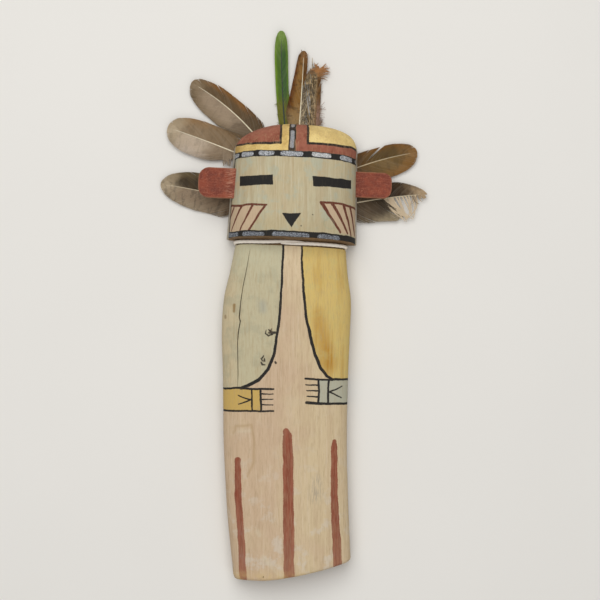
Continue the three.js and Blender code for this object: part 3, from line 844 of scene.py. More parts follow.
def crown_paint(grain, settings, dash):
    """The quartered crown: two reds and two yellows, black lines and a black band with grey dashes."""
    finish = grain.finish
    turned = Vector((math.cos(HEAD_TURN), -math.sin(HEAD_TURN), 0))
    start = turned.dot(Vector((HEAD_SHIFT, HEAD_SEAT, 0)))
    wandering = finish.vector("ADD", grain.place, grain.wobble)
    over = finish.vector("DOT_PRODUCT", wandering, turned, output=1) - start
    flat = finish.add("ShaderNodeCombineXYZ", None, {0: over, 1: grain.along, 2: 0.0})
    red = grain.washes(opaque(settings.crown_red), CROWN_RED_WASHES)
    yellow = grain.washes(opaque(settings.crown_yellow), CROWN_YELLOW_WASHES)
    yellow = finish.wash(yellow, over, *CROWN_GLOW, 0.45, (244, 220, 150))

    left, band, right = [
        finish.inside(finish.patch(flat, corners), 0.12)
        for corners in (CROWN_LEFT_RED, CROWN_RIGHT_BAND, CROWN_RIGHT_RED)
    ]
    crown = finish.mix(left, yellow, red)
    crown = finish.mix(finish.math("MAXIMUM", band, right), crown, red)
    lines = finish.inside(finish.strokes(flat, CROWN_LINES), 0.12)
    dark = finish.math("MAXIMUM", finish.inside(middle_distance(over, CROWN_BAND), 0.12), lines)
    crown = finish.mix(dark, crown, opaque(settings.black))
    marks = finish.inside(finish.strokes(flat, CROWN_MARKS), 0.15)
    crown = finish.mix(marks * finish.ramp(grain.speck, 0.3, 0.6, 0.9, 0.6), crown, dash)
    worn = finish.ramp(grain.narrow, 0.48, 0.68, 0.0, 0.45) * finish.ramp(grain.patch, 0.4, 0.6, 0.3, 1.0)
    crown = finish.mix(worn, crown, tone((196, 162, 122)))
    return grain.washes(crown, (("speck", 0.5, 0.3, 0.3, (116, 76, 54)),))


def corner_line(grain):
    """Where the thin black line runs down the left front corner of the head."""
    finish = grain.finish
    distance = abs(grain.rise - CORNER_LINE) - CORNER_LINE_HALF
    line = finish.inside(distance, 0.4) * finish.ramp(grain.patch, 0.38, 0.55, 0.5, 0.95)
    below = finish.ramp(grain.along, UPPER_BAND[1], UPPER_BAND[1] + 0.8, 1.0, 0.0)
    return line * finish.inside(grain.side, 1) * below


def head_paint(settings):
    """The painted head: eyes, nose, cheek lines, dashed bands and the crown."""
    finish = Finish("painted_head")
    grain = Grain(finish, settings)
    spot, up = grain.spot, grain.along
    black = opaque(settings.black)
    dash = finish.wash(opaque(settings.dash_grey), grain.speck, 0.35, 0.62, 1.0, (196, 198, 200))
    base = finish.wash(opaque(settings.face_ground), grain.cloud, 0.4, 0.6, 1.0, (190, 176, 142))
    base = grain.washes(base, FACE_WASHES)
    cheeks = finish.math("MINIMUM", finish.patch(spot, LEFT_CHEEK), finish.patch(spot, RIGHT_CHEEK))
    fills = [(finish.inside(cheeks, 0.25), opaque(settings.cheek_ground))]
    thin = finish.ramp(grain.narrow, 0.35, 0.85, 1.0, 0.8)
    colour = painted(finish, base, fills, thin, finish.ramp(grain.narrow, 0.46, 0.72, 0.0, 0.42))
    crown_cover = finish.ramp(up, UPPER_BAND[1] - 0.1, UPPER_BAND[1] + 0.1)
    colour = finish.mix(crown_cover, colour, crown_paint(grain, settings, dash))

    red_lines = grain.drawn(CHEEK_LINES, 0.14)
    red_cover = red_lines * finish.ramp(grain.narrow, 0.4, 0.8, 1.0, 0.75)
    colour = finish.mix(red_cover, colour, opaque(settings.line_red))
    ring = abs(finish.strokes(spot, CHEEK_RING)) - CHEEK_RING_HALF
    colour = finish.mix(finish.inside(ring, 0.3) * 0.3, colour, tone((140, 160, 136)))
    colour = finish.mix(corner_line(grain), colour, black)
    features = finish.math("MINIMUM", finish.patch(spot, LEFT_EYE), finish.patch(spot, RIGHT_EYE))
    features = finish.math("MINIMUM", features, finish.patch(spot, NOSE))
    features = finish.math("MINIMUM", features, finish.strokes(spot, FACE_SPECKS))
    bands = finish.math("MINIMUM", middle_distance(up, UPPER_BAND), up - LOWER_BAND_TOP)
    dark = finish.math("MAXIMUM", finish.inside(features, 0.14), finish.inside(bands, 0.12))
    colour = finish.mix(dark * finish.ramp(grain.narrow, 0.5, 0.85, 1.0, 0.9), colour, black)
    bright_middle, bright_half = BRIGHT_DASH
    bright = finish.inside(abs(grain.across - bright_middle) - bright_half, 0.5)
    dash = finish.mix(bright * 0.6, dash, tone((226, 224, 220)))
    dull = finish.wash(tone((96, 100, 108)), grain.speck, 0.4, 0.66, 1.0, (150, 153, 158))
    dash = finish.mix(finish.ramp(up, 3, 6), dull, dash)
    scratch = finish.ramp(grain.speck, 0.36, 0.6, 0.35, 1.0)
    colour = finish.mix(grain.drawn(BAND_DASHES, 0.15) * scratch, colour, dash)

    wall = finish.inside(grain.rise - BAND_EDGE - finish.ramp(grain.side, 1, -1, 0.0, 4.2), 0.3)
    wall_colour = finish.wash(tone((200, 194, 180)), grain.patch, 0.4, 0.65, 1.0, (160, 146, 122))
    colour = finish.mix(wall, colour, wall_colour)
    wood = bare_wood(grain, settings.wood)
    # Painted shade under the head: the bare wood of the head's underside and of the neck groove is darkened
    wood = finish.wash(wood, up, 0.6, 0.2, 0.4, (70, 54, 36))
    colour = grain.show_wood(colour, wood)
    return grain.close(colour, dark * 0.25 + red_lines * 0.3)


# The carved figure


def head_point(across, up, depth):
    """A place in the head's own frame as a place on the doll."""
    raised = up + HEAD_TILT * (depth - HEAD_SIDE)
    cosine, sine = math.cos(HEAD_TURN), math.sin(HEAD_TURN)
    return Vector((
        HEAD_SHIFT + across * cosine + raised * sine,
        HEAD_SEAT - across * sine + raised * cosine,
        depth,
    ))


def body_value(column, share):
    """Smooth value at a share of the body's length, from the stations."""
    index = 1
    while index < len(BODY_STATIONS) - 1 and BODY_STATIONS[index][0] < share:
        index += 1

    def slope(i):
        previous = BODY_STATIONS[max(i - 1, 0)]
        following = BODY_STATIONS[min(i + 1, len(BODY_STATIONS) - 1)]
        return (following[column] - previous[column]) / (following[0] - previous[0])

    before, after = BODY_STATIONS[index - 1], BODY_STATIONS[index]
    span = after[0] - before[0]
    t = (share - before[0]) / span
    return (
        (2 * t ** 3 - 3 * t ** 2 + 1) * before[column]
        + (t ** 3 - 2 * t ** 2 + t) * slope(index - 1) * span
        + (3 * t ** 2 - 2 * t ** 3) * after[column]
        + (t ** 3 - t ** 2) * slope(index) * span
    )


def sole_at(across):
    """How far along the sole is, at a place across it."""
    left = -BODY_STATIONS[0][1] * BODY_HALF_WIDTH
    width = BODY_STATIONS[0][2] * BODY_HALF_WIDTH - left
    beyond = max(across - left - SOLE_FLAT, 0) / (width - SOLE_FLAT)
    return SOLE_Y + SOLE_RISE * beyond ** SOLE_CURVE


def shoulder_at(across, depth):
    """Where the body stops under the neck groove."""
    raised = -GROOVE_WIDTH + HEAD_TILT * (depth - HEAD_SIDE)
    return HEAD_SEAT + raised / math.cos(HEAD_TURN) - (across - HEAD_SHIFT) * math.tan(HEAD_TURN)


# A section of the carving: half widths at the left and right, depth of the back, of the place where the sides
# turn into the front and of the front, draft of the sides, radius of the back corners, and roundness
Section = namedtuple("Section", "left right back side front draft radius roundness")

# A ring of the carving: its points, where each lies in the paint, how bare the wood is, and if it is on the
# head
Ring = namedtuple("Ring", "points paint bare head")


def side_columns(kind, steps):
    """Columns evenly along a wall or the back without its ends, or round a corner with both."""
    first = 0 if kind.endswith("corner") else 1
    return [(kind, step / steps) for step in range(first, steps + 1 - first)]


def section_columns():
    """The columns that run round the carving: up the left side, over the front, down the right and back."""
    angles = [math.pi * (1 - step / FRONT_COLUMNS) for step in range(FRONT_COLUMNS + 1)]
    clear = max(CRACK_COLUMNS) / CRACK_PITCH * CRACK_CLEAR
    angles = [angle for angle in angles if abs(angle - CRACK_ANGLE) > clear]
    angles += [CRACK_ANGLE - offset / CRACK_PITCH for offset in CRACK_COLUMNS]
    left = side_columns("left corner", CORNER_COLUMNS) + side_columns("left wall", WALL_COLUMNS)
    front = [("front", angle) for angle in sorted(angles, reverse=True)]
    right = side_columns("right wall", WALL_COLUMNS) + side_columns("right corner", CORNER_COLUMNS)
    return left + front + right + side_columns("back", BACK_COLUMNS)


def section_points(columns, size, swing=0.0):
    """Points across and out for each column; swing leans the columns near the crack towards it."""
    power = 2 / size.roundness
    points = []
    for kind, value in columns:
        if kind == "front":
            near = abs(value - CRACK_ANGLE) / CRACK_REACH
            if near < 1:
                value += swing * math.cos(near * math.pi / 2) ** 2
            cosine, sine = math.cos(value), math.sin(value)
            half = (size.left if cosine < 0 else size.right) - size.draft
            across = math.copysign(abs(cosine) ** power * half, cosine)
            depth = size.side + (size.front - size.side) * abs(sine) ** power
        elif kind == "back":
            across = lerp(size.right - size.radius, size.radius - size.left, value)
            depth = size.back
        else:
            left = kind.startswith("left")
            rise = value if left else 1 - value
            if kind.endswith("wall"):
                inward = size.draft * rise
                depth = lerp(size.back + size.radius, size.side, rise)
            else:
                inward = size.radius * (1 - math.sin(rise * math.pi / 2))
                depth = size.back + size.radius * (1 - math.cos(rise * math.pi / 2))
            across = inward - size.left if left else size.right - inward
        points.append((across, depth))
    return points


def crack_at(along):
    """Where the crack is across the body, its half width and its depth, or None beyond its ends."""
    for start, end in zip(CRACK, CRACK[1:]):
        if end[1] <= along <= start[1]:
            share = (start[1] - along) / (start[1] - end[1])
            return [lerp(start[i], end[i], share) for i in (0, 2, 3)]
    return None


def crack_swing(share, half):
    """How far the columns lean round the section, so that they follow the crack."""
    along = lerp(SOLE_Y, shoulder_at(CRACK_ACROSS, BODY_SIDE), share)
    held = clamp(along, CRACK[-1][1], CRACK[0][1])
    across = abs(crack_at(held)[0])
    target = math.pi - math.acos((across / half) ** (BODY_ROUNDNESS / 2))
    return target - CRACK_ANGLE


def body_sizes(share):
    """Half widths at the left and right, and the depth, at a share of the body's length."""
    full = (BODY_HALF_WIDTH, BODY_HALF_WIDTH, BODY_DEPTH)
    return [size * body_value(column, share) for column, size in enumerate(full, 1)]


def body_ring(columns, share, inset, shift, squeeze=1.0):
    """A ring of the body; squeeze draws it in towards its middle, for the sole."""
    left, right, front = body_sizes(share)
    size = Section(left - inset, right - inset, 0, BODY_SIDE, front - inset, 0, CORNER_RADIUS, BODY_ROUNDNESS)
    middle = (size.right - size.left) / 2
    least = WORN_EDGE - inset - SHOULDER_BARE if share == 1 else -math.inf
    points, paint, bare = [], [], []
    for across, depth in section_points(columns, size, crack_swing(share, left)):
        across = lerp(middle, across, squeeze)
        depth = lerp(BODY_SIDE, depth, squeeze)
        along = lerp(sole_at(across), shoulder_at(across, depth), share) + shift
        points.append(Vector((across, along, depth)))
        paint.append((across, along, 0))
        if squeeze < 1:
            bare.append((1 - squeeze) * SOLE_BARE - SOLE_PAINTED)
        else:
            bare.append(max(least, BODY_BARE - depth))
    return Ring(points, paint, bare, False)


def neck_section(extra):
    """The neck's section, grown by extra, in the head's frame."""
    _, left, right, front = BODY_STATIONS[-1]
    grown = extra - GROOVE_DEPTH
    return Section(
        BODY_HALF_WIDTH * left + HEAD_SHIFT + grown, BODY_HALF_WIDTH * right - HEAD_SHIFT + grown,
        BACK_RELIEF - extra, BODY_SIDE, BODY_DEPTH * front + grown, 0, CORNER_RADIUS + extra, BODY_ROUNDNESS,
    )


def head_ring(columns, size, up, least=-math.inf, squeeze=1.0):
    """A ring in the head's frame; least is how bare its wood is at least, and squeeze draws it in."""
    middle = (size.right - size.left) / 2
    points, paint, bare = [], [], []
    for across, depth in section_points(columns, size):
        across = lerp(middle, across, squeeze)
        depth = lerp(HEAD_SIDE, depth, squeeze)
        points.append(head_point(across, up, depth))
        arc = math.atan2(across / BODY_HALF_WIDTH, max(depth - HEAD_SIDE, 0) / FACE_RISE) * FACE_ARC
        paint.append((arc, up, 0))
        bare.append(max(least, HEAD_BARE - depth))
    return Ring(points, paint, bare, True)


def head_half(up):
    """Half width of the head at a height above its underside."""
    return HEAD_HALF_WIDTH - HEAD_TAPER * up / CROWN_BASE


def face_section(up, inset=0):
    """The head's section at a height above its underside."""
    half = head_half(up) - inset
    front = HEAD_DEPTH - inset
    return Section(half, half, BACK_RELIEF, HEAD_SIDE, front, HEAD_SIDE_DRAFT, CORNER_RADIUS, HEAD_ROUNDNESS)


def crown_section(share):
    """The crown's section at a share of its rise."""
    left, right, front = [(1 - share ** power) ** (1 / power) for power in CROWN_ROUNDNESS]
    return Section(
        CROWN_HALF_WIDTH * left, CROWN_HALF_WIDTH * right, BACK_RELIEF, HEAD_SIDE,
        HEAD_SIDE + FACE_RISE * front, HEAD_SIDE_DRAFT * (1 - share), CORNER_RADIUS, HEAD_ROUNDNESS,
    )


def quarter_round(radius):
    """Steps round a worn edge, each as how far in and how far along it is."""
    angles = [math.pi / 2 * step / EDGE_ROWS for step in range(EDGE_ROWS + 1)]
    return [(radius * (1 - math.sin(angle)), radius * (1 - math.cos(angle))) for angle in angles]


def between(first, second, steps):
    """Rings that fill the way from one ring to the next, both left out."""
    rings = []
    for step in range(1, steps):
        share = step / steps
        points = [a.lerp(b, share) for a, b in zip(first.points, second.points)]
        paint = [Vector(a).lerp(Vector(b), share) for a, b in zip(first.paint, second.paint)]
        rings.append(Ring(points, paint, [GROOVE_BARE] * len(points), second.head))
    return rings


def body_rings(columns):
    """The body's rings, from the middle of the sole to its worn edge at the neck."""
    rings = [body_ring(columns, 0, SOLE_EDGE, 0, squeeze) for squeeze in SOLE_RINGS]
    rings += [body_ring(columns, 0, inset, along) for inset, along in quarter_round(SOLE_EDGE)]
    shares = [lerp(BODY_START, BODY_END, step / BODY_ROWS) for step in range(BODY_ROWS)]
    rings += [body_ring(columns, share, 0, 0) for share in shares]
    worn = reversed(quarter_round(WORN_EDGE))
    return rings + [body_ring(columns, 1, inset, -along) for inset, along in worn]


def figure_rings(columns):
    """Every ring of the figure, from the middle of the sole to the top of the crown."""
    rings = body_rings(columns)
    levels = [lerp(-GROOVE_WIDTH, 0, step / GROOVE_ROWS) for step in range(GROOVE_ROWS + 1)]
    groove = [head_ring(columns, neck_section(0), up, GROOVE_BARE) for up in levels]
    rings += between(rings[-1], groove[0], SHOULDER_ROWS) + groove
    edge = []
    for inset, along in quarter_round(WORN_EDGE):
        up = UNDERSIDE_RISE + along
        edge.append(head_ring(columns, face_section(up, inset), up, inset - EDGE_BARE))
    rings += between(groove[-1], edge[0], UNDERSIDE_ROWS) + edge
    for step in range(1, FACE_ROWS + 1):
        up = lerp(UNDERSIDE_RISE + WORN_EDGE, CROWN_BASE, step / FACE_ROWS)
        rings.append(head_ring(columns, face_section(up), up))
    for step in range(1, CROWN_ROWS + 1):
        share = math.sin(math.asin(CROWN_END) * step / CROWN_ROWS)
        size = crown_section(share)
        up = CROWN_BASE + CROWN_RISE * share
        rings.append(head_ring(columns, size, up))
    return rings + [head_ring(columns, size, up, squeeze=squeeze) for squeeze in CROWN_RINGS]


def hollow_at(point):
    """How deep the crack and the knots are cut at a point of the body."""
    if point.y > HEAD_SEAT or point.z < BODY_SIDE / 2:
        return 0
    depth = 0
    crack = crack_at(point.y)
    if crack:
        across, half, deep = crack
        depth = deep * max(0, 1 - abs(point.x - across) / half) ** CRACK_FALL
    for x, y, radius in KNOTS:
        away = math.hypot(point.x - x, point.y - y)
        depth = max(depth, KNOT_DEPTH * smoothstep(radius * KNOT_SPREAD - away, 0, radius))
    return depth


def carve_figure(settings):
    """The whole carving as one closed mesh."""
    columns = section_columns()
    rings = figure_rings(columns)
    across, along = len(columns), len(rings) - 1
    bm = bmesh.new()
    paint = bm.verts.layers.float_vector.new("paint")
    bare = bm.verts.layers.float.new("bare")
    hollow = bm.verts.layers.float.new("hollow")
    bmesh.ops.create_grid(bm, x_segments=across, y_segments=along, size=1)
    heads = {}
    for vert in bm.verts:
        column = grid_step(vert.co.x, across) % across
        ring = rings[grid_step(vert.co.y, along)]
        heads[vert.index] = ring.head
        vert.co = ring.points[column]
        vert[paint] = ring.paint[column]
        vert[bare] = ring.bare[column]
    for face in bm.faces:
        face.smooth = True
        face.material_index = 1 if all(heads[vert.index] for vert in face.verts) else 0
    merge(bm, 0.001)
    bm.normal_update()
    unevenness = settings.unevenness / MM
    moves = []
    for vert in bm.verts:
        cut = hollow_at(vert.co)
        vert[hollow] = cut
        broad = noise.noise(vert.co * BROAD_WORK)
        fine = noise.noise(vert.co * FINE_WORK + FINE_SHIFT)
        moves.append(vert.normal * (unevenness * (broad + FINE_SHARE * fine - WORK_INWARD) - cut))
    for vert, move in zip(bm.verts, moves):
        vert.co += move
    return bm


# Mesh helpers


def grid_step(value, steps):
    """Which step of a new grid a place from -1 to 1 is."""
    return round((value + 1) / 2 * steps)


def head_frame():
    """The head's place and turn."""
    return Matrix.Translation((HEAD_SHIFT, HEAD_SEAT, 0)) @ Matrix.Rotation(-HEAD_TURN, 4, "Z")


def merge(bm, distance):
    """Closes seams and poles, and turns the faces outwards."""
    bmesh.ops.remove_doubles(bm, verts=bm.verts[:], dist=distance)
    bmesh.ops.recalc_face_normals(bm, faces=bm.faces[:])


def add_object(name, data, place=(0, 0, 0)):
    """Puts an object with its data into the scene."""
    added = bpy.data.objects.new(name, data)
    added.location = place
    bpy.context.scene.collection.objects.link(added)
    return added


def add_mesh(bm, name, materials):
    """Makes a finished shape a mesh object."""
    mesh = bpy.data.meshes.new(name)
    bm.to_mesh(mesh)
    bm.free()
    for material in materials:
        mesh.materials.append(material)
    return add_object(name, mesh)


def add_piece(bm, name, node, materials):
    """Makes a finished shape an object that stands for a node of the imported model."""
    bmesh.ops.scale(bm, vec=(MM, MM, MM), verts=bm.verts[:])
    piece = add_mesh(bm, name, materials)
    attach(piece, "root")
    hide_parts(node)


def sweep(bm, centres, radii, sides, lobes=0, depth=0.0, twist=0.0, out=Vector((0, 0, 1)), material=0):
    """A round or lobed strand along its centres, closed to a point at both ends."""
    rows = len(centres) - 1
    grid = bmesh.ops.create_grid(bm, x_segments=sides, y_segments=rows, size=1)["verts"]
    faces = set()
    for vert in grid:
        side = grid_step(vert.co.x, sides) % sides
        row = grid_step(vert.co.y, rows)
        before = centres[max(row - 1, 0)]
        after = centres[min(row + 1, rows)]
        travel = (after - before).normalized()
        sideways = travel.cross(out).normalized()
        lift = sideways.cross(travel)
        angle = 2 * math.pi * side / sides
        radius = radii[row]
        if lobes:
            radius *= 1 - depth * (0.5 + 0.5 * math.cos(lobes * (angle + twist * row)))
        vert.co = centres[row] + sideways * radius * math.cos(angle) + lift * radius * math.sin(angle)
        faces.update(vert.link_faces)
    for face in faces:
        face.smooth = True
        face.material_index = material
    bmesh.ops.remove_doubles(bm, verts=grid, dist=0.0005)
    bmesh.ops.recalc_face_normals(bm, faces=[face for face in faces if face.is_valid])


# Ears


def ear_shares(steps):
    """Grid places from -1 to 1, closer together at both ends where the edge is rounded."""
    return [math.sin(math.pi / 2 * (2 * step / steps - 1)) for step in range(steps + 1)]


def cut_ear(spec, settings):
    """One ear as a flat tab with a rounded outer end and worn edges."""
    sign, stands, let_in, height, up, top, thickness, corner, bow = spec
    side = head_half(up)
    inner, reach, half = side - let_in, side + stands, height / 2
    bevel = settings.ear_edge / MM
    long_steps, wide_steps = EAR_STEPS
    long_shares, wide_shares = ear_shares(long_steps), ear_shares(wide_steps)
    bm = bmesh.new()
    rim = bm.verts.layers.float.new("rim")
    bmesh.ops.create_grid(bm, x_segments=long_steps, y_segments=wide_steps, size=1)
    for vert in bm.verts:
        across_share = (long_shares[grid_step(vert.co.x, long_steps)] + 1) / 2
        tall = wide_shares[grid_step(vert.co.y, wide_steps)] * half
        past = max(abs(tall) - (half - corner), 0) / corner
        end = reach - bow * (tall / half) ** 2 - corner * (1 - math.sqrt(max(1 - past * past, 0)))
        across = lerp(inner, end, across_share)
        away = min(end - across, half - abs(tall), across - inner)
        fall = 1 - clamp(away / bevel)
        vert.co = Vector((across, tall, top - bevel * (1 - math.sqrt(max(1 - fall * fall, 0)))))
        vert[rim] = away
    copies = bmesh.ops.extrude_face_region(bm, geom=bm.faces[:], use_keep_orig=True)["geom"]
    for vert in [item for item in copies if isinstance(item, bmesh.types.BMVert)]:
        vert.co.z = 2 * top - thickness - vert.co.z
    merge(bm, 0.0005)
    bm.normal_update()
    ribs_end, ribs_full = [side + offset for offset in EAR_RIBS]
    for vert in bm.verts:
        dent = noise.noise(vert.co * 0.35) * 0.5 + noise.noise(vert.co * 0.9 + Vector((7, 3, 1))) * 0.2
        rib = smoothstep(vert.co.x, ribs_end, ribs_full) * (0.5 + 0.5 * math.sin(vert.co.y * EAR_RIB_TURNS))
        vert.co += vert.normal * (EAR_DENT * dent - EAR_INWARD - EAR_RIB * rib)
    turn = Matrix.Rotation(0 if sign > 0 else math.pi, 4, "Z")
    bm.transform(head_frame() @ Matrix.Translation((0, up, 0)) @ turn)
    for face in bm.faces:
        face.smooth = True
    return bm


def ear_paint(settings):
    """Thin red earth paint on wood, scratched near the head and worn along its edges."""
    finish = Finish("red_ear")
    place = finish.place()
    brushed = finish.noise(finish.vector("MULTIPLY", place, (0.15, 1, 1)), 1.4, 4, 0.65)
    cloud = finish.noise(place, 0.28, 3)
    speck = finish.noise(place, 2.6, 3, 0.6)
    colour = finish.wash(opaque(settings.ear_red), cloud, 0.35, 0.65, 1.0, (112, 52, 38))
    colour = finish.wash(colour, brushed, 0.5, 0.75, 0.55, (160, 96, 74))
    colour = finish.wash(colour, brushed, 0.42, 0.28, 0.5, (96, 44, 32))
    colour = finish.wash(colour, speck, 0.52, 0.68, 0.6, (176, 116, 92))
    across, _, _ = finish.split(place)
    near = finish.ramp(abs(across - HEAD_SHIFT), 34.0, 31.0)
    ribs = finish.noise(finish.vector("MULTIPLY", place, (0.25, 2.0, 0.25)), 1.1, 2)
    colour = finish.mix(near * finish.ramp(ribs, 0.5, 0.62, 0.0, 0.6), colour, tone((190, 138, 112)))
    rim = finish.attribute("rim", "Fac")
    edge = finish.ramp(rim + finish.math("MULTIPLY_ADD", speck, 2.0, -1.0), 0.75, -0.1)
    colour = finish.mix(edge * 0.7, colour, tone((176, 124, 92)))
    height = brushed * 0.8 + speck * 0.5
    return finish.finish(colour, finish.ramp(brushed, 0.3, 0.7, 0.62, 0.82), height, 0.5, 0.2)


# Neck cord


def cord_columns():
    """Where the cord runs: once round the neck, with its two ends passing each other in front."""
    middle = math.pi / 2
    first, last = [
        [("front", lerp(start, end, step / CORD_FRONT)) for step in range(CORD_FRONT + 1)]
        for start, end in ((middle + CORD_LAPS[0], 0), (math.pi, middle - CORD_LAPS[1]))
    ]
    right = side_columns("right wall", CORD_WALL) + side_columns("right corner", CORD_CORNER)
    left = side_columns("left corner", CORD_CORNER) + side_columns("left wall", CORD_WALL)
    return first + right + side_columns("back", CORD_BACK) + left + last


def cord_mesh(settings):
    """The neck cord as a twisted strand."""
    points = section_points(cord_columns(), neck_section(CORD_DIAMETER / 2 + CLEARANCE))
    rough = [Vector((across, 0, depth)) for across, depth in points]
    lengths = [0]
    for start, end in zip(rough, rough[1:]):
        lengths.append(lengths[-1] + (end - start).length)
    total = lengths[-1]
    radius = settings.cord_diameter / MM / 2
    centres, radii = [], []
    index = 0
    for step in range(CORD_STEPS + 1):
        at = total * step / CORD_STEPS
        while index < len(lengths) - 2 and lengths[index + 1] < at:
            index += 1
        share = (at - lengths[index]) / max(lengths[index + 1] - lengths[index], 0.0001)
        flat = rough[index].lerp(rough[index + 1], share)
        travel = at / total
        ends = CORD_CLIMB * smoothstep(travel, 0.84, 0.99) - CORD_SINK * smoothstep(travel, 0.1, 0)
        centres.append(head_point(flat.x, ends - GROOVE_WIDTH / 2, flat.z))
        radii.append(radius * max(min(travel / 0.06, (1 - travel) / 0.1, 1), 0) ** 0.55)
    bm = bmesh.new()
    twist = settings.cord_twist * total / CORD_STEPS
    upward = head_point(0, 1, HEAD_SIDE) - head_point(0, 0, HEAD_SIDE)
    sweep(bm, centres, radii, CORD_SIDES, CORD_STRANDS, STRAND_DEPTH, twist, upward)
    return bm


def cord_paint(settings):
    """Soft white cotton, a little soiled."""
    finish = Finish("white_cord")
    place = finish.place()
    fibre = finish.noise(place, 3.2, 4, 0.7)
    colour = finish.wash(opaque(settings.cord_white), fibre, 0.35, 0.7, 1.0, (240, 232, 220))
    colour = finish.wash(colour, finish.noise(place, 0.25, 3), 0.5, 0.75, 0.3, (206, 194, 174))
    return finish.finish(colour, 0.9, fibre, 0.5, 0.15)


# Feathers


def vane_width(spec, vane, share):
    """Half width of a vane at a share of the feather's length."""
    begin, full_at, near, far, rounded, end = vane
    full = FEATHER_LENGTH * spec["length"] * lerp(near, far, share)
    rise = math.sqrt(smoothstep(share, begin, full_at))
    past = clamp((share - rounded) / (end - rounded))
    fall = (1 - past ** spec["tip"]) ** (1 / spec["tip"])
    return QUILL_RADIUS + (full - QUILL_RADIUS) * rise * fall


def quill_point(spec, share):
    """The middle of the quill at a share of its length, in the feather's own frame."""
    length = FEATHER_LENGTH * spec["length"]
    sunk = spec["sink"] * QUILL_RADIUS * smoothstep(share, 0, QUILL_BEND)
    return Vector((
        4 * spec["bow"] * length * share * (1 - share),
        length * share,
        spec["lift"] * length * share * share - sunk,
    ))


def leftward(spec, share):
    """The direction across the feather, towards its left, seen with the tip away."""
    length = FEATHER_LENGTH * spec["length"]
    travel = Vector((4 * spec["bow"] * length * (1 - 2 * share), length, 0))
    return Vector((-travel.y, travel.x, 0)).normalized()


def barb_end(spec, vane, root, slope):
    """Share of the length where a barb from that root reaches the vane's edge."""
    length = FEATHER_LENGTH * spec["length"]
    low, high = root, vane[5]
    if root + slope * vane_width(spec, vane, high) / length > high:
        return high
    for _ in range(16):
        middle = (low + high) / 2
        if middle - root - slope * vane_width(spec, vane, middle) / length < 0:
            low = middle
        else:
            high = middle
    return low


def grow_barb(bm, layer, side, line, half_width, seed, taper=0.6):
    """One barb as a narrow strip along its line, tapering to its end."""
    steps = len(line) - 1
    strip = bmesh.ops.create_grid(bm, x_segments=steps, y_segments=1, size=1)["verts"]
    tilt = BARB_TILT * side
    for vert in strip:
        step = grid_step(vert.co.x, steps)
        edge = 1 if vert.co.y > 0 else -1
        place, share = line[step]
        before, after = line[max(step - 1, 0)][0], line[min(step + 1, steps)][0]
        travel = (after - before).normalized()
        aside = Vector((-travel.y, travel.x, 0)).normalized()
        width = half_width * (1 - taper * (step / steps) ** 3)
        vert.co = place + aside * width * edge + Vector((0, 0, tilt * edge))
        vert[layer] = (share, side * step / steps, seed)


def torn_line(spec, root, steps, chance):
    """A torn barb on the right: out from the quill, then drawn to where the torn barbs cling together."""
    _, _, gather, reach, _ = spec["torn"]
    start = quill_point(spec, root)
    goal = quill_point(spec, gather) - leftward(spec, gather) * reach
    goal += Vector((chance.uniform(-1, 1.2), chance.uniform(-1.6, 1.6), 0)) * TORN_SPREAD
    bend = start - leftward(spec, root) * reach * chance.uniform(0.45, 0.7)
    bend += Vector((0, chance.uniform(1, 3.5), 0))
    line = []
    for step in range(steps + 1):
        t = step / steps
        place = start * (1 - t) ** 2 + bend * 2 * t * (1 - t) + goal * t * t
        line.append((place, lerp(root, gather, t)))
    return line


def barb_line(spec, side, root, end, width, steps, curl, rise, droop):
    """A barb's places: out and tipwards from the quill, curled along the feather, risen and drooping."""
    line = []
    for step in range(steps + 1):
        t = step / steps
        share = lerp(root, end, t ** 1.25)
        reach = lerp(QUILL_RADIUS * 0.4, width, t ** 0.92)
        place = quill_point(spec, share) + leftward(spec, share) * side * reach
        place += Vector((0, curl * t * t, 0))
        place.z += rise * t * t - 0.25 * t * t - droop * t + 0.12 * (1 - t)
        line.append((place, share))
    return line


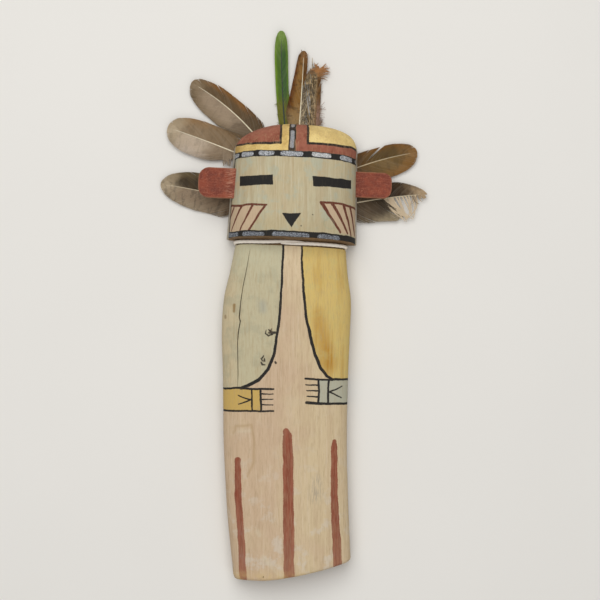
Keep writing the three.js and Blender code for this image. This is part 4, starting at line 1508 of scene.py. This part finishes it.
def grow_vane(bm, layer, spec, side, settings, chance):
    """All the barbs on one side of the quill, in clumps that lean and end together."""
    pair = 0 if side > 0 else 1
    vane = spec["left"] if side > 0 else spec["right"]
    fray = spec["fray"][pair]
    length = FEATHER_LENGTH * spec["length"]
    begin, full_at, _, _, _, end = vane
    spacing = settings.barb_spacing / MM
    steps = settings.barb_steps
    count = int((end - begin) * length / spacing)
    torn = spec.get("torn") if side < 0 else None
    parting = spec.get("parting") if side > 0 else None
    clump_end = 0
    for index in range(count):
        root = lerp(begin, (1 if torn else end) * 0.99, index / (count - 1))
        tipward = smoothstep(root / end, 0.86, 1)
        fan = smoothstep(tipward, 0, 0.3)
        angle = math.radians(spec["angles"][pair]) * (1 - 0.75 * tipward)
        if index >= clump_end:
            clump_start = index
            clump_end = index + chance.randint(*CLUMP)
            clump_lean = chance.uniform(-1, 1) * fray
            clump_short = 1 - 0.16 * fray * chance.random()
            clump_rise = chance.uniform(-0.15, 0.15)
        if torn and torn[0] < root < torn[1]:
            if root < torn[4] or index % (TORN_GAP + 1) == 0:
                line = torn_line(spec, root, steps, chance)
                grow_barb(bm, layer, side, line, TORN_WIDTH, 1 + chance.random())
            continue
        if root > end:
            continue
        downy = 1 - smoothstep(root, begin, lerp(begin, full_at, 0.8))
        inside = (index - clump_start) / (clump_end - clump_start) - 0.5
        drawn = (clump_end - clump_start) * spacing / length * inside * 0.8 * max(fray - 0.25, 0)
        lean = 0.02 * clump_lean * smoothstep(root / end, 0.9, 0.7)
        tip_share = min(barb_end(spec, vane, root, 1 / math.tan(angle)) + lean - drawn, end)
        width = vane_width(spec, vane, tip_share) * clump_short * (1 - 0.05 * fray * chance.random())
        if parting:
            middle, half, push = parting
            off = root - middle
            near = 1 - smoothstep(abs(off), 0, half)
            tip_share += math.copysign(push * near, off)
            width *= 1 - 0.3 * near * smoothstep(off, 0, 0.01)
        width -= 0.9 * QUILL_RADIUS * smoothstep(tip_share, 0.95, 1)
        curl = chance.uniform(-1, 1) * (0.4 * downy + 0.12 * fray) + clump_lean * max(fray - 0.5, 0) * 2
        droop = chance.uniform(0, 1) * 0.3 * downy
        line = barb_line(spec, side, root, tip_share, width, steps, curl, clump_rise, droop)
        across = spacing * max(math.sin(angle), 0.26) * (0.7 + 1.8 * fan) + 0.02
        half_width = across * (1 - 0.5 * downy)
        grow_barb(bm, layer, side, line, half_width, chance.random(), 0.6 - 0.5 * fan)


def grow_loose(bm, layer, spec, row, chance):
    """Loose strands that leave the quill on one side and curl, thin and soft."""
    low, high, side, heading_low, heading_high, bend_low, bend_high, reach, count, half_width = row
    for _ in range(count):
        share = chance.uniform(low, high)
        place = quill_point(spec, share)
        heading = math.radians(chance.uniform(heading_low, heading_high))
        bend = math.radians(chance.uniform(bend_low, bend_high)) / LOOSE_STEPS
        stride = reach * chance.uniform(0.5, 1) / LOOSE_STEPS
        line = [(place, share)]
        for _ in range(LOOSE_STEPS):
            travel = leftward(spec, share) * side * math.sin(heading) + Vector((0, math.cos(heading), 0))
            place = place + travel * stride + Vector((0, 0, chance.uniform(-0.05, 0.06)))
            heading += bend
            line.append((place, share))
        grow_barb(bm, layer, side, line, half_width, 0.7 + 0.3 * chance.random())


def grow_feather(name, spec, settings):
    """A feather: barbs on both sides of a tapering quill."""
    chance = random.Random(name)
    bm = bmesh.new()
    layer = bm.verts.layers.float_vector.new("barb")
    for side in (1, -1):
        grow_vane(bm, layer, spec, side, settings, chance)
    down_reach = min(0.1 * FEATHER_LENGTH, vane_width(spec, spec["left"], 0.5) + 1.5)
    down = [(*spec["down"], side, *DOWN_TURNS, down_reach, DOWN_COUNT, DOWN_HALF_WIDTH) for side in (1, -1)]
    for row in down + list(spec.get("loose", ())):
        grow_loose(bm, layer, spec, row, chance)
    bmesh.ops.solidify(bm, geom=bm.faces[:], thickness=settings.barb_thickness / MM)
    shares = [step / QUILL_STEPS for step in range(QUILL_STEPS + 1)]
    centres = [quill_point(spec, QUILL_END * share) for share in shares]
    radii = [QUILL_RADIUS * (1 - QUILL_TAPER * share) for share in shares]
    radii[0] = radii[-1] = 0
    sweep(bm, centres, radii, QUILL_SIDES, material=1)
    across, along = spec["root"]
    root = Matrix.Translation((across * HEAD_HALF_WIDTH, along * HEAD_LENGTH, QUILL_LEVEL))
    bm.transform(head_frame() @ root @ Matrix.Rotation(-math.radians(spec["degrees"]), 4, "Z"))
    return bm


def vane_paint(name, spec):
    """The vanes' colours: paler or darker from quill to edge, barred and streaked along the barbs."""
    finish = Finish(name + "_vane")
    barb = finish.attribute("barb")
    share, reach, seed = finish.split(barb)
    blotch = finish.noise(finish.place(), 0.16, 3)
    fine = finish.noise(finish.vector("MULTIPLY", barb, (160, 2, 40)), 1, 2)
    bars = finish.noise(finish.vector("MULTIPLY", barb, (26, 1.5, 0)), 1, 2)
    left = finish.ramp(reach, -0.02, 0.02)
    distance = abs(reach)
    inner, outer = [finish.mix(left, tone(pair[1]), tone(pair[0])) for pair in (spec["inner"], spec["outer"])]
    colour = finish.mix(finish.ramp(distance + blotch * 0.5 - 0.25, 0.45, 1.0), inner, outer)
    place = share + blotch * 0.2 - 0.1
    downy = spec["down"][1]
    colour = finish.wash(colour, place, 0.78, 0.96, 0.9, spec["end"])
    colour = finish.wash(colour, place, downy + 0.12, downy - 0.08, 0.7, spec["base"])
    if "barred" in spec:
        side, fade_from, fade_to, stripe, ground = spec["barred"]
        barred = (left if side > 0 else 1 - left) * finish.ramp(share, fade_from, fade_to)
        barred = barred * finish.ramp(distance, 0.0, 0.3, 0.5, 0.9)
        colour = finish.mix(barred, colour, tone(ground))
        wave = finish.noise(finish.vector("MULTIPLY", barb, (14, 4, 5)), 1, 1)
        colour = finish.mix(finish.ramp(wave, 0.46, 0.52) * barred, colour, tone(stripe))
    dark = finish.mix(0.6, colour, tone((40, 30, 22)))
    light = finish.mix(0.4, colour, tone((232, 222, 200)))
    colour = finish.mix(finish.ramp(bars, 0.5, 0.62, 0.0, spec["bars"] * 2), colour, dark)
    colour = finish.mix(finish.ramp(fine, 0.5, 0.75, 0.0, 0.4), colour, dark)
    colour = finish.mix(finish.ramp(seed, 0.5, 1.0, 0.0, 0.16), colour, light)
    colour = finish.wash(colour, seed, 1.0, 1.02, 0.85, (206, 186, 156))
    return finish.finish(colour, finish.ramp(seed, 0.0, 1.0, 0.5, 0.68))


def quill_paint(name, spec):
    """Smooth horn, a little darker in streaks."""
    finish = Finish(name + "_quill")
    streak = finish.noise(finish.place(), 0.9, 2)
    horn = tone(spec["quill"])
    dark = finish.mix(0.3, horn, tone((120, 96, 66)))
    return finish.finish(finish.mix(finish.ramp(streak, 0.45, 0.75), horn, dark), 0.42)


# What a user would change


def length_setting(name, description, default):
    """A length that a user may change, in metres."""
    return bpy.props.FloatProperty(
        name=name, description=description, default=default, min=0.0, precision=5, subtype="DISTANCE",
        unit="LENGTH",
    )


def colour_setting(name, description, default):
    """A colour that a user may change."""
    return bpy.props.FloatVectorProperty(
        name=name, description=description, default=default, size=3, min=0.0, max=1.0, subtype="COLOR",
    )


class DollFigureSettings(bpy.types.PropertyGroup):
    """Sizes and colours of the carved figure."""

    unevenness: length_setting("Unevenness", "How far the knife work rises and falls", 0.00016)
    brush_sway: length_setting("Brush sway", "How far a painted line wanders", 0.0011)
    bristle_mark: length_setting("Bristle marks", "How ragged the edge of a painted line is", 0.0004)
    face_ground: colour_setting("Face", "Ground colour of the face", srgb(188, 180, 150))
    body_ground: colour_setting("Body, left", "Pinkish ground of the body", srgb(199, 173, 143))
    body_cream: colour_setting("Body, right", "Creamy ground of the body", srgb(205, 184, 148))
    cheek_ground: colour_setting("Cheeks", "Ground under the cheek lines", srgb(196, 171, 141))
    green: colour_setting("Green sleeve", "Pale green of the left sleeve", srgb(189, 180, 148))
    yellow: colour_setting("Yellow sleeve", "Yellow of the right sleeve", srgb(208, 180, 108))
    ochre: colour_setting("Ochre", "Darker patches of the right sleeve", srgb(176, 128, 42))
    cuff: colour_setting("Cuff", "Yellow of the left cuff", srgb(194, 162, 90))
    red: colour_setting("Stripes", "Red of the stripes", srgb(130, 66, 45))
    line_red: colour_setting("Cheek lines", "Red of the cheek lines", srgb(98, 48, 34))
    crown_red: colour_setting("Crown red", "Red of the crown", srgb(160, 98, 78))
    crown_yellow: colour_setting("Crown yellow", "Yellow of the crown", srgb(226, 196, 124))
    dash_grey: colour_setting("Dashes", "Grey of the dashes in the bands", srgb(128, 130, 136))
    black: colour_setting("Black", "Black of the lines", srgb(36, 34, 32))
    wood: colour_setting("Bare wood", "Unpainted root wood", srgb(146, 116, 82))


class DollTrimSettings(bpy.types.PropertyGroup):
    """Sizes and colours of the ears and the neck cord."""

    ear_edge: length_setting("Ear edge", "Radius of the ears' worn edges", 0.0007)
    ear_red: colour_setting("Ear red", "Red of the ears", srgb(134, 64, 44))
    cord_diameter: length_setting("Cord", "Thickness of the neck cord", 0.00185)
    cord_twist: bpy.props.FloatProperty(
        name="Cord twist", description="Twist of the cord in radians for each millimetre", default=0.9
    )
    cord_white: colour_setting("Cord white", "Colour of the neck cord", srgb(252, 243, 229))


class DollFeatherSettings(bpy.types.PropertyGroup):
    """How fine the feathers are."""

    barb_spacing: length_setting("Barb spacing", "Distance between barbs along the quill", 0.00046)
    barb_thickness: length_setting("Barb thickness", "Thickness of each barb", 0.00009)
    barb_steps: bpy.props.IntProperty(name="Barb steps", description="Bends along a barb", default=6, min=2)


class DollStageSettings(bpy.types.PropertyGroup):
    """Camera, floor and light."""

    camera_height: length_setting("Camera height", "How far the camera is above the back plane", 0.8)
    lens: bpy.props.FloatProperty(name="Lens", description="Focal length in millimetres", default=95.04)
    floor: colour_setting("Floor", "Colour of the floor", srgb(232, 229, 223))
    key_power: bpy.props.FloatProperty(name="Key light", description="Power of the main light", default=7.7)
    fill_power: bpy.props.FloatProperty(name="Fill light", description="Power of the weak light", default=2.5)
    sky: bpy.props.FloatProperty(name="Sky", description="Strength of the light all round", default=0.3)


# Operators


class DOLL_OT_carve_figure(bpy.types.Operator):
    """Carve and paint the body and head"""

    bl_idname = "doll.carve_figure"
    bl_label = "Carve figure"

    def execute(self, context):
        """Builds the figure with its two painted finishes."""
        settings = context.scene.doll_figure
        materials = [body_paint(settings), head_paint(settings)]
        add_piece(carve_figure(settings), "carved_figure", "figure", materials)
        return {"FINISHED"}


class DOLL_OT_cut_ears(bpy.types.Operator):
    """Cut and paint the two ears"""

    bl_idname = "doll.cut_ears"
    bl_label = "Cut ears"

    def execute(self, context):
        """Builds both ears."""
        settings = context.scene.doll_trim
        material = ear_paint(settings)
        for node, spec in EARS.items():
            add_piece(cut_ear(spec, settings), "painted_" + node, node, [material])
        return {"FINISHED"}


class DOLL_OT_tie_cord(bpy.types.Operator):
    """Tie the white cord round the neck"""

    bl_idname = "doll.tie_cord"
    bl_label = "Tie cord"

    def execute(self, context):
        """Builds the neck cord."""
        settings = context.scene.doll_trim
        add_piece(cord_mesh(settings), "twisted_neck_cord", "neck_cord", [cord_paint(settings)])
        return {"FINISHED"}


class DOLL_OT_set_feathers(bpy.types.Operator):
    """Grow the eight feathers behind the head"""

    bl_idname = "doll.set_feathers"
    bl_label = "Set feathers"

    def execute(self, context):
        """Builds each feather from its barbs and quill."""
        settings = context.scene.doll_feathers
        for node, spec in FEATHERS.items():
            materials = [vane_paint(node, spec), quill_paint(node, spec)]
            add_piece(grow_feather(node, spec, settings), "barbed_" + node, node, materials)
        return {"FINISHED"}


class DOLL_OT_set_stage(bpy.types.Operator):
    """Set up the floor, the light and the camera"""

    bl_idname = "doll.set_stage"
    bl_label = "Set stage"

    def execute(self, context):
        """Builds the stage."""
        settings = context.scene.doll_stage
        lay_floor(settings)
        add_lamp("key_light", KEY_PLACE, KEY_SIZE, settings.key_power)
        add_lamp("fill_light", FILL_PLACE, FILL_SIZE, settings.fill_power)
        context.scene.world = light_sky(settings)
        context.scene.view_settings.view_transform = "Standard"
        context.scene.camera = hold_camera(settings)
        return {"FINISHED"}


def lay_floor(settings):
    """A plain pale floor under the doll."""
    bm = bmesh.new()
    bmesh.ops.create_grid(bm, x_segments=8, y_segments=8, size=FLOOR_HALF)
    finish = Finish("floor")
    cloud = finish.noise(finish.place(), 0.01, 2)
    pale = opaque(settings.floor)
    shade = finish.mix(0.04, pale, (0, 0, 0, 1))
    add_mesh(bm, "floor", [finish.finish(finish.mix(cloud, pale, shade), 0.9)])


def add_lamp(name, place, size, power):
    """A square soft light that points at the middle of the doll."""
    lamp = bpy.data.lights.new(name, "AREA")
    lamp.size = size
    lamp.energy = power
    holder = add_object(name, lamp, place)
    holder.rotation_euler = (-Vector(place)).to_track_quat("-Z", "Y").to_euler()


def light_sky(settings):
    """A sky that is even all round."""
    world = bpy.data.worlds.new("soft_sky")
    world.use_nodes = True
    background = world.node_tree.nodes["Background"]
    background.inputs["Color"].default_value = (1, 1, 1, 1)
    background.inputs["Strength"].default_value = settings.sky
    return world


def hold_camera(settings):
    """A camera that looks straight down."""
    camera = bpy.data.cameras.new("camera")
    camera.lens = settings.lens
    camera.sensor_width = CAMERA_SENSOR
    return add_object("camera", camera, (CAMERA_ACROSS, CAMERA_ALONG, settings.camera_height))


class DOLL_PT_panel(bpy.types.Panel):
    """Every step of the doll, in order"""

    bl_idname = "DOLL_PT_panel"
    bl_label = "Kachina Doll"
    bl_space_type = "VIEW_3D"
    bl_region_type = "UI"
    bl_category = "Doll"

    def draw(self, context):
        """Lists the settings and the steps."""
        for group in (setting for setting, _ in SETTINGS):
            box = self.layout.box()
            settings = getattr(context.scene, group)
            for name in settings.__annotations__:
                box.prop(settings, name)
        for operator in OPERATORS:
            self.layout.operator(operator.bl_idname)


SETTINGS = (
    ("doll_figure", DollFigureSettings),
    ("doll_trim", DollTrimSettings),
    ("doll_feathers", DollFeatherSettings),
    ("doll_stage", DollStageSettings),
)
OPERATORS = (
    DOLL_OT_carve_figure,
    DOLL_OT_cut_ears,
    DOLL_OT_tie_cord,
    DOLL_OT_set_feathers,
    DOLL_OT_set_stage,
)


def register():
    """Registers the settings, the operators and the panel."""
    for name, group in SETTINGS:
        bpy.utils.register_class(group)
        setattr(bpy.types.Scene, name, bpy.props.PointerProperty(type=group))
    for operator in OPERATORS:
        bpy.utils.register_class(operator)
    bpy.utils.register_class(DOLL_PT_panel)


def unregister():
    """Takes away all that register added."""
    bpy.utils.unregister_class(DOLL_PT_panel)
    for operator in reversed(OPERATORS):
        bpy.utils.unregister_class(operator)
    for name, group in reversed(SETTINGS):
        delattr(bpy.types.Scene, name)
        bpy.utils.unregister_class(group)


def main():
    """Dresses the doll step by step."""
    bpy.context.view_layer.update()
    register()
    bpy.ops.doll.carve_figure()
    bpy.ops.doll.cut_ears()
    bpy.ops.doll.tie_cord()
    bpy.ops.doll.set_feathers()
    bpy.ops.doll.set_stage()


if __name__ == "__main__":
    main()
